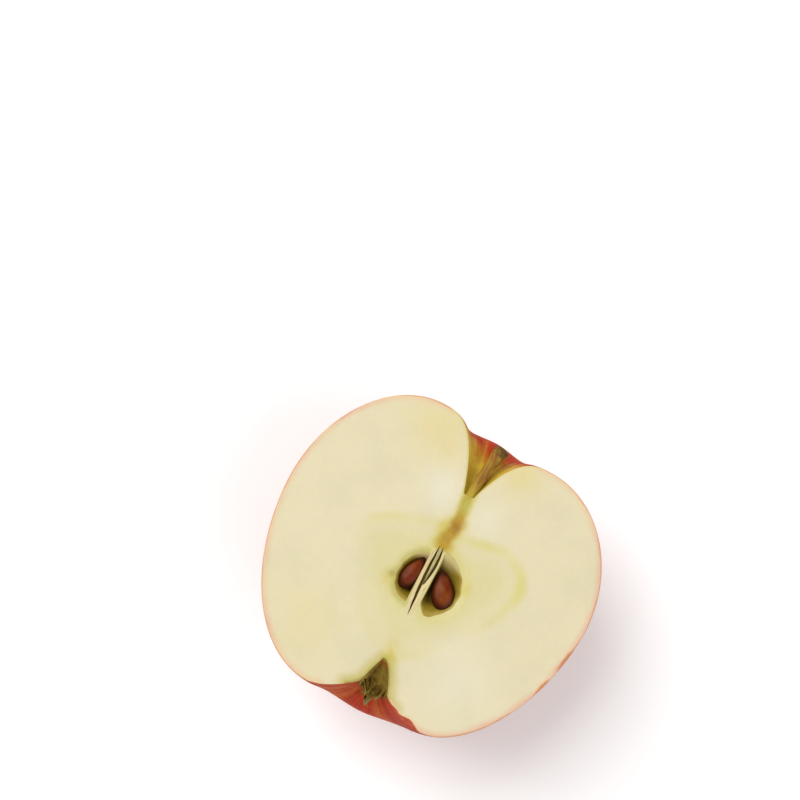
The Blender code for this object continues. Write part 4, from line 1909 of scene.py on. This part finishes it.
@dataclass
class Calyx:
    """The dried calyx: the lining of its tube, three sepals and a tuft of stamens."""

    fruit: Fruit
    top_down: float = 23.4
    gap: float = 0.06
    wall: float = 0.35
    columns: int = 96
    rows: int = 26
    edge: float = math.radians(1.5)
    rim_out: float = 0.5
    apex_fade: float = 4.0
    rim_waves: tuple[Place, ...] = ((0.5, 2.2, 0.7), (0.25, 9.0, 3.7))
    folds: int = 17
    fold_depth: float = 0.16
    fold_twist: float = 2.0
    least_out: Point = (0.08, 0.1)
    sepals: tuple[Sepal, ...] = (
        Sepal(-155.0, 5.0, 2.8, -52.0, 0.2),
        Sepal(-64.0, 4.9, 3.4, -22.0, 0.1),
        Sepal(-24.0, 3.1, 2.8, -14.0, -0.2),
    )
    stamens: int = 13
    stamen_seed: int = 4
    stamen_length: float = 3.4
    stamen_radius: float = 0.13
    stamen_bend: float = 0.18
    stamen_steps: int = 8
    stamen_sides: int = 7
    stamen_spin: Place = (0.35, 3.0, 0.45)
    stamen_sizes: Point = (0.6, 1.1)
    bead_radii: float = 2.1
    bead_shape: Place = (1.0, 1.7, 0.8)
    tuft_out: float = 1.9
    tuft_down: float = 27.2
    tuft_drop: float = 1.2
    tuft_sunk: float = 0.2
    tuft_spread: Point = (0.55, 1.0)
    tuft_scatter: float = 1.0

    def cup(self, dry: Material) -> Object:
        """Make the thin dry lining of the tube, with its ragged rim.

        Args:
            dry: its material.

        Returns:
            The cup.
        """
        draft = Draft()
        skins = []
        for inset in (0.0, self.wall):
            skin = []
            for j in range(self.columns + 1):
                angle = -self.edge - (math.pi - 2 * self.edge) * (1 - j / self.columns)
                skin.append([draft.point(*self.cup_place(angle, i / self.rows, inset),
                                         inner=max(0.0, 1 - self.apex_fade * i / self.rows))
                             for i in range(self.rows + 1)])
            draft.bridge(skin)
            skins.append(skin)
        draft.close_sheets(*skins)
        return draft.make("calyx_cup", [dry], 60.0)

    def cup_place(self, angle: float, share: float, inset: float) -> Place:
        """Place a point of the cup.

        Args:
            angle: the angle about the core.
            share: 0 at the cup's top and 1 at its rim.
            inset: how far inside the cup's outer face.

        Returns:
            The place, in mm.
        """
        lobe = self.fruit.lobe(angle)
        ragged = sum(height * noise.noise(Vector((angle * pitch, start, 0.0)))
                     for height, pitch, start in self.rim_waves)
        rim = lobe.mouth_down + self.rim_out + ragged
        down = self.top_down + (rim - self.top_down) * share
        apex = self.fruit.apex_down
        on_tube = min(1.0, (down - apex) / (lobe.mouth_down - apex))
        folds = self.fold_depth * math.sin(angle * self.folds + self.fold_twist * share) * share
        out = self.fruit.tube(lobe, on_tube)[0] - self.gap - inset + folds * (1 if inset else 0)
        least = self.least_out[0] + self.least_out[1] * share
        return self.fruit.place(max(out, least), -down, angle)

    def leaves(self, dry: Material) -> Object:
        """Make the sepals, each a thin wrinkled leaf with a curled point.

        Args:
            dry: their material.

        Returns:
            The sepals as one object.
        """
        draft = Draft()
        for sepal in self.sepals:
            self.draw_leaf(draft, sepal)
        return draft.make("sepals", [dry], 60.0)

    def draw_leaf(self, draft: Draft, sepal: Sepal) -> None:
        """Draw one sepal.

        Args:
            draft: the draft to draw in.
            sepal: the sepal.
        """
        middle = math.radians(sepal.angle)
        lobe = self.fruit.lobe(middle)
        faces = []
        for skin in (1, -1):
            rows = []
            for i in range(sepal.along + 1):
                share = i / sepal.along
                narrow = (1 - share ** sepal.taper[0]) ** sepal.taper[1]
                spread = sepal.width / 2 * narrow + sepal.tip_width
                lean = math.radians(sepal.flare) + sepal.curl * share ** 2
                reach = sepal.length * share
                down = lobe.mouth_down - sepal.foot + reach * math.cos(lean)
                out = lobe.mouth_out - sepal.inwards + reach * math.sin(lean) * sepal.flare_share
                row = []
                for k in range(sepal.across + 1):
                    side = 2 * k / sepal.across - 1
                    turn = middle + side * spread / max(out, sepal.least_out)
                    crease = sepal.hollow * side * side + sepal.wrinkle * noise.noise(
                        Vector((side * sepal.wrinkle_pitch[0], share * sepal.wrinkle_pitch[1],
                                sepal.angle)))
                    thick = sepal.thickness * skin * (1 - sepal.thinning * share)
                    x, y, z = self.fruit.place(out - crease + thick, -down, turn)
                    row.append(draft.point(x, y, min(z, self.fruit.cut_height), point=share))
                rows.append(row)
            draft.bridge(rows)
            faces.append(rows)
        draft.close_sheets(*faces)

    def tuft_tree(self) -> Growth:
        """Build the stamens' tree: bent threads with a bead at the tip, set round the tube's wall.

        Returns:
            The tree, ready to grow.
        """
        t = Growth("stamen_growth")
        count, seed = t.size("Count", "Int"), t.size("Seed", "Int")
        out, top, drop, level = (t.size(name) for name in ("Out", "Top", "Drop", "Level"))
        length, radius, scatter = (t.size(name) for name in ("Length", "Radius", "Scatter"))
        index = t.geo("InputIndex")
        share = t.math("DIVIDE", t.plus(index, 0.5), count)
        turn = t.times(share, -math.pi)
        reach = t.times(out, t.random(seed, *self.tuft_spread))
        fall = t.times(drop, t.random(t.plus(seed, 1.0), 0.0, 1.0))
        spot = t.put("ShaderNodeCombineXYZ", {
            0: t.times(reach, t.math("COSINE", turn)),
            1: t.times(t.plus(top, fall), -1.0),
            2: t.plus(level, t.times(reach, t.math("SINE", turn)))})
        points = t.geo("Points", {"Count": count, "Position": spot})
        bend = t.put("ShaderNodeCombineXYZ", {0: t.times(length, self.stamen_bend),
                                              1: t.times(length, -0.5), 2: 0.0})
        end = t.put("ShaderNodeCombineXYZ", {0: 0.0, 1: t.times(length, -1.0), 2: 0.0})
        thread = t.geo("CurveQuadraticBezier", {
            "Resolution": self.stamen_steps, "Start": (0.0, 0.0, 0.0), "Middle": bend, "End": end})
        ring = t.geo("CurvePrimitiveCircle",
                     {"Resolution": self.stamen_sides, "Radius": radius})
        thread = t.geo("CurveToMesh",
                       {"Curve": thread, "Profile Curve": ring, "Fill Caps": True})
        bead = t.geo("MeshUVSphere", {
            "Segments": 8, "Rings": 6, "Radius": t.times(radius, self.bead_radii)})
        bead = t.geo("Transform",
                     {"Geometry": bead, "Translation": end, "Scale": self.bead_shape})
        joined = t.tree.nodes.new("GeometryNodeJoinGeometry")
        t.tree.links.new(thread, joined.inputs[0])
        t.tree.links.new(bead, joined.inputs[0])
        spin = t.put("FunctionNodeRandomValue", {
            0: tuple(-v for v in self.stamen_spin), 1: self.stamen_spin, "Seed": seed},
            data_type="FLOAT_VECTOR")
        sizes = t.random(t.plus(seed, 2.0), *self.stamen_sizes)
        tuft = t.geo("InstanceOnPoints", {
            "Points": points, "Instance": joined.outputs[0],
            "Rotation": t.scaled(spin, scatter), "Scale": sizes})
        t.close(t.smooth(t.geo("RealizeInstances", {0: tuft})))
        return t

    def tuft(self, dry: Material) -> Object:
        """Grow the dried stamens in the tube.

        Args:
            dry: their material.

        Returns:
            The stamens as one object.
        """
        return self.tuft_tree().grow("stamens", {
            "Count": self.stamens, "Seed": self.stamen_seed, "Out": self.tuft_out * MM,
            "Top": self.tuft_down * MM, "Drop": self.tuft_drop * MM,
            "Level": (self.fruit.cut_height - self.tuft_sunk) * MM,
            "Length": self.stamen_length * MM, "Radius": self.stamen_radius * MM,
            "Scatter": self.tuft_scatter, "Material": dry})


@dataclass
class SkinDots:
    """The pale dots that skin breathes through, low domes strewn by nodes over the skin."""

    cut_height: float
    radius: float = 0.24
    height: float = 0.035
    density: float = 0.075
    rim_clear: float = 1.2
    rest_clear: float = 0.8
    funnel_end: float = 0.16
    basin_start: float = 0.93
    sides: int = 9
    rings: int = 4
    sizes: Point = (0.35, 1.1)
    seed: int = 11

    def tree(self) -> Growth:
        """Build the tree: points on the skin's faces, each with a low dome that faces outwards.

        Returns:
            The tree, ready to grow.
        """
        t = Growth("dot_growth")
        density, radius, height = t.size("Density"), t.size("Radius"), t.size("Height")
        low, high, seed = t.size("Low"), t.size("High"), t.size("Seed", "Int")
        z = t.put("ShaderNodeSeparateXYZ", {0: t.geo("InputPosition")}, out=2)
        on_skin = t.put("FunctionNodeCompare", {
            2: t.geo("InputMaterialIndex"), 3: Zone.SKIN.value},
            data_type="INT", operation="EQUAL")
        above = t.limit(z, low, True)
        below = t.limit(z, high, False)
        along = t.geo("InputNamedAttribute", {"Name": "along"}, data_type="FLOAT")
        outer = t.limit(along, t.size("Funnel End"), True)
        upper = t.limit(along, t.size("Basin Start"), False)
        where = on_skin
        for limit in (above, below, outer, upper):
            where = t.put("FunctionNodeBooleanMath", {0: where, 1: limit}, operation="AND")
        strewn = t.geo("DistributePointsOnFaces", {
            "Mesh": t.source(), "Selection": where, "Density": density, "Seed": seed}).node
        flat = t.put("ShaderNodeCombineXYZ", {0: radius, 1: radius, 2: height})
        dome = t.geo("MeshUVSphere",
                     {"Segments": self.sides, "Rings": self.rings, "Radius": 1.0})
        dome = t.geo("Transform", {"Geometry": dome, "Scale": flat})
        sizes = t.random(seed, *self.sizes)
        dots = t.geo("InstanceOnPoints", {
            "Points": strewn.outputs["Points"], "Instance": dome,
            "Rotation": strewn.outputs["Rotation"], "Scale": sizes})
        t.close(t.smooth(t.geo("RealizeInstances", {0: dots})))
        return t

    def build(self, half: Object, dot: Material) -> Object:
        """Strew the dots.

        Args:
            half: the half whose skin takes them.
            dot: their material.

        Returns:
            The dots as one object.
        """
        per_square_metre = self.density / (MM * MM)
        return self.tree().grow("skin_dots", {
            "Density": per_square_metre, "Radius": self.radius * MM, "Height": self.height * MM,
            "Low": self.rest_clear * MM, "High": (self.cut_height - self.rim_clear) * MM,
            "Seed": self.seed,
            "Funnel End": self.funnel_end, "Basin Start": self.basin_start, "Material": dot},
            half.data.copy())


@dataclass
class Studio:
    """The camera, the pale floor and the soft lights, in metres and degrees."""

    face_height: float
    distance: float = 0.353
    focal_pixels: float = 1591.0
    frame_pixels: float = 800.0
    sensor: float = 0.036
    middle_pixel: Point = (429.0, 567.4)
    middle: Point = (-0.0004, -0.0006)
    stem_turn: float = 62.3
    tilt: float = 5.5
    tilt_towards: float = -118.0
    floor_reach: float = 3.0
    key: tuple[float, ...] = (135.0, 55.0, 2.6, 2.0, 52.0)
    fill: tuple[float, ...] = (-40.0, 45.0, 2.8, 2.4, 26.0)
    surroundings: Spot = (1.0, 0.995, 0.985, 1.0)
    surroundings_strength: float = 0.35

    def axes(self) -> tuple[Vector, Vector]:
        """Give the world directions of the picture's right and up, for a camera looking down."""
        turn = math.radians(90 - self.stem_turn)
        return (Vector((math.cos(turn), math.sin(turn), 0)),
                Vector((-math.sin(turn), math.cos(turn), 0)))

    def camera(self) -> None:
        """Set the camera over the cut face, tilted and aimed as in the photograph."""
        right, up = self.axes()
        turn = math.radians(self.tilt_towards)
        sideways = right * math.cos(turn) + up * math.sin(turn)
        tilt = math.radians(self.tilt)
        back = (Vector((0, 0, math.cos(tilt))) + sideways * math.sin(tilt)).normalized()
        across = up.cross(back).normalized()
        upright = back.cross(across)
        aim = Matrix((across, upright, back)).transposed()
        shift_x = math.atan((self.middle_pixel[0] - self.frame_pixels / 2) / self.focal_pixels)
        shift_y = math.atan((self.middle_pixel[1] - self.frame_pixels / 2) / self.focal_pixels)
        aim = aim @ Matrix.Rotation(shift_x, 3, "Y") @ Matrix.Rotation(shift_y, 3, "X")
        lens = bpy.data.cameras.new("camera")
        lens.sensor_width = self.sensor * 1000
        lens.lens = self.focal_pixels / self.frame_pixels * lens.sensor_width
        lens.clip_start, lens.clip_end = 0.01, 20
        camera = link(bpy.data.objects.new("camera", lens))
        middle = Vector((*self.middle, self.face_height))
        camera.location = middle + back * self.distance
        camera.rotation_euler = aim.to_euler()
        bpy.context.scene.camera = camera

    def floor(self, pale: Material) -> Object:
        """Lay the floor.

        Args:
            pale: its material.

        Returns:
            The floor.
        """
        reach = self.floor_reach
        mesh = bpy.data.meshes.new("floor")
        corners = [(x * reach, y * reach, 0) for x, y in ((-1, -1), (1, -1), (1, 1), (-1, 1))]
        mesh.from_pydata(corners, [], [(0, 1, 2, 3)])
        mesh.materials.append(pale)
        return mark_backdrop(link(bpy.data.objects.new("floor", mesh)))

    def lamp(self, name: str, towards: float, height: float, away: float, size: float,
             power: float) -> None:
        """Hang a square soft light.

        Args:
            name: its name.
            towards: the side of the picture it stands on, in degrees from the picture's right.
            height: its height above the horizon, in degrees.
            away: its distance.
            size: its side's length.
            power: its power in watts.
        """
        right, up = self.axes()
        turn, rise = math.radians(towards), math.radians(height)
        flat = right * math.cos(turn) + up * math.sin(turn)
        way = flat * math.cos(rise) + Vector((0, 0, math.sin(rise)))
        light = bpy.data.lights.new(name, "AREA")
        light.size = size
        light.energy = power
        lamp = link(bpy.data.objects.new(name, light))
        lamp.location = way * away
        lamp.rotation_euler = (-way).to_track_quat("-Z", "Y").to_euler()

    def light(self) -> None:
        """Set the soft daylight and the plain pale surroundings."""
        self.lamp("key", *self.key)
        self.lamp("fill", *self.fill)
        world = bpy.data.worlds.new("pale_surroundings")
        world.use_nodes = True
        background = world.node_tree.nodes["Background"]
        background.inputs["Color"].default_value = self.surroundings
        background.inputs["Strength"].default_value = self.surroundings_strength
        bpy.context.scene.world = world
        bpy.context.scene.view_settings.view_transform = "Standard"


def keep(piece: Object, slot: Slot, *nodes: str) -> None:
    """Hand a finished piece to the frame.

    Args:
        piece: the piece.
        slot: the record's slot; not used.
        *nodes: the CAD nodes that it stands for.
    """
    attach(piece, BODY)
    if nodes:
        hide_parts(*nodes)
    LOG.info("%s: %d faces on %s", piece.name, len(piece.data.polygons), BODY)


def main() -> None:
    """Build the half apple, its floor, its lights and its camera."""
    logging.basicConfig(level=logging.INFO, format="%(name)s: %(message)s")
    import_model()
    cut_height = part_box("flesh")[1].z / MM
    studio = Studio(face_height=cut_height * MM)
    studio.camera()
    studio.light()
    studio.floor(FloorFinish().build())
    fruit = Fruit(cut_height)
    coats = [SkinFinish().build(), FleshFinish().build(), LiningFinish().build()]
    half = Half(fruit, Core()).build(coats)
    keep(half, Slot.FLESH, "flesh")
    keep(SkinDots(cut_height).build(half, DotFinish().build()), Slot.FLESH)
    keep(Stem(cut_height).build(BarkFinish().build()), Slot.STEM, "stem")
    seeds = Seeds(cut_height)
    for seed, shape in zip(seeds.build(SeedCoatFinish().build()), seeds.shapes):
        keep(seed, Slot.SEED, shape.node)
    dry = DryFinish().build()
    calyx = Calyx(fruit)
    keep(calyx.cup(dry), Slot.CALYX, "calyx")
    keep(calyx.leaves(dry), Slot.CALYX)
    keep(calyx.tuft(dry), Slot.CALYX)


if __name__ == "__main__":
    main()
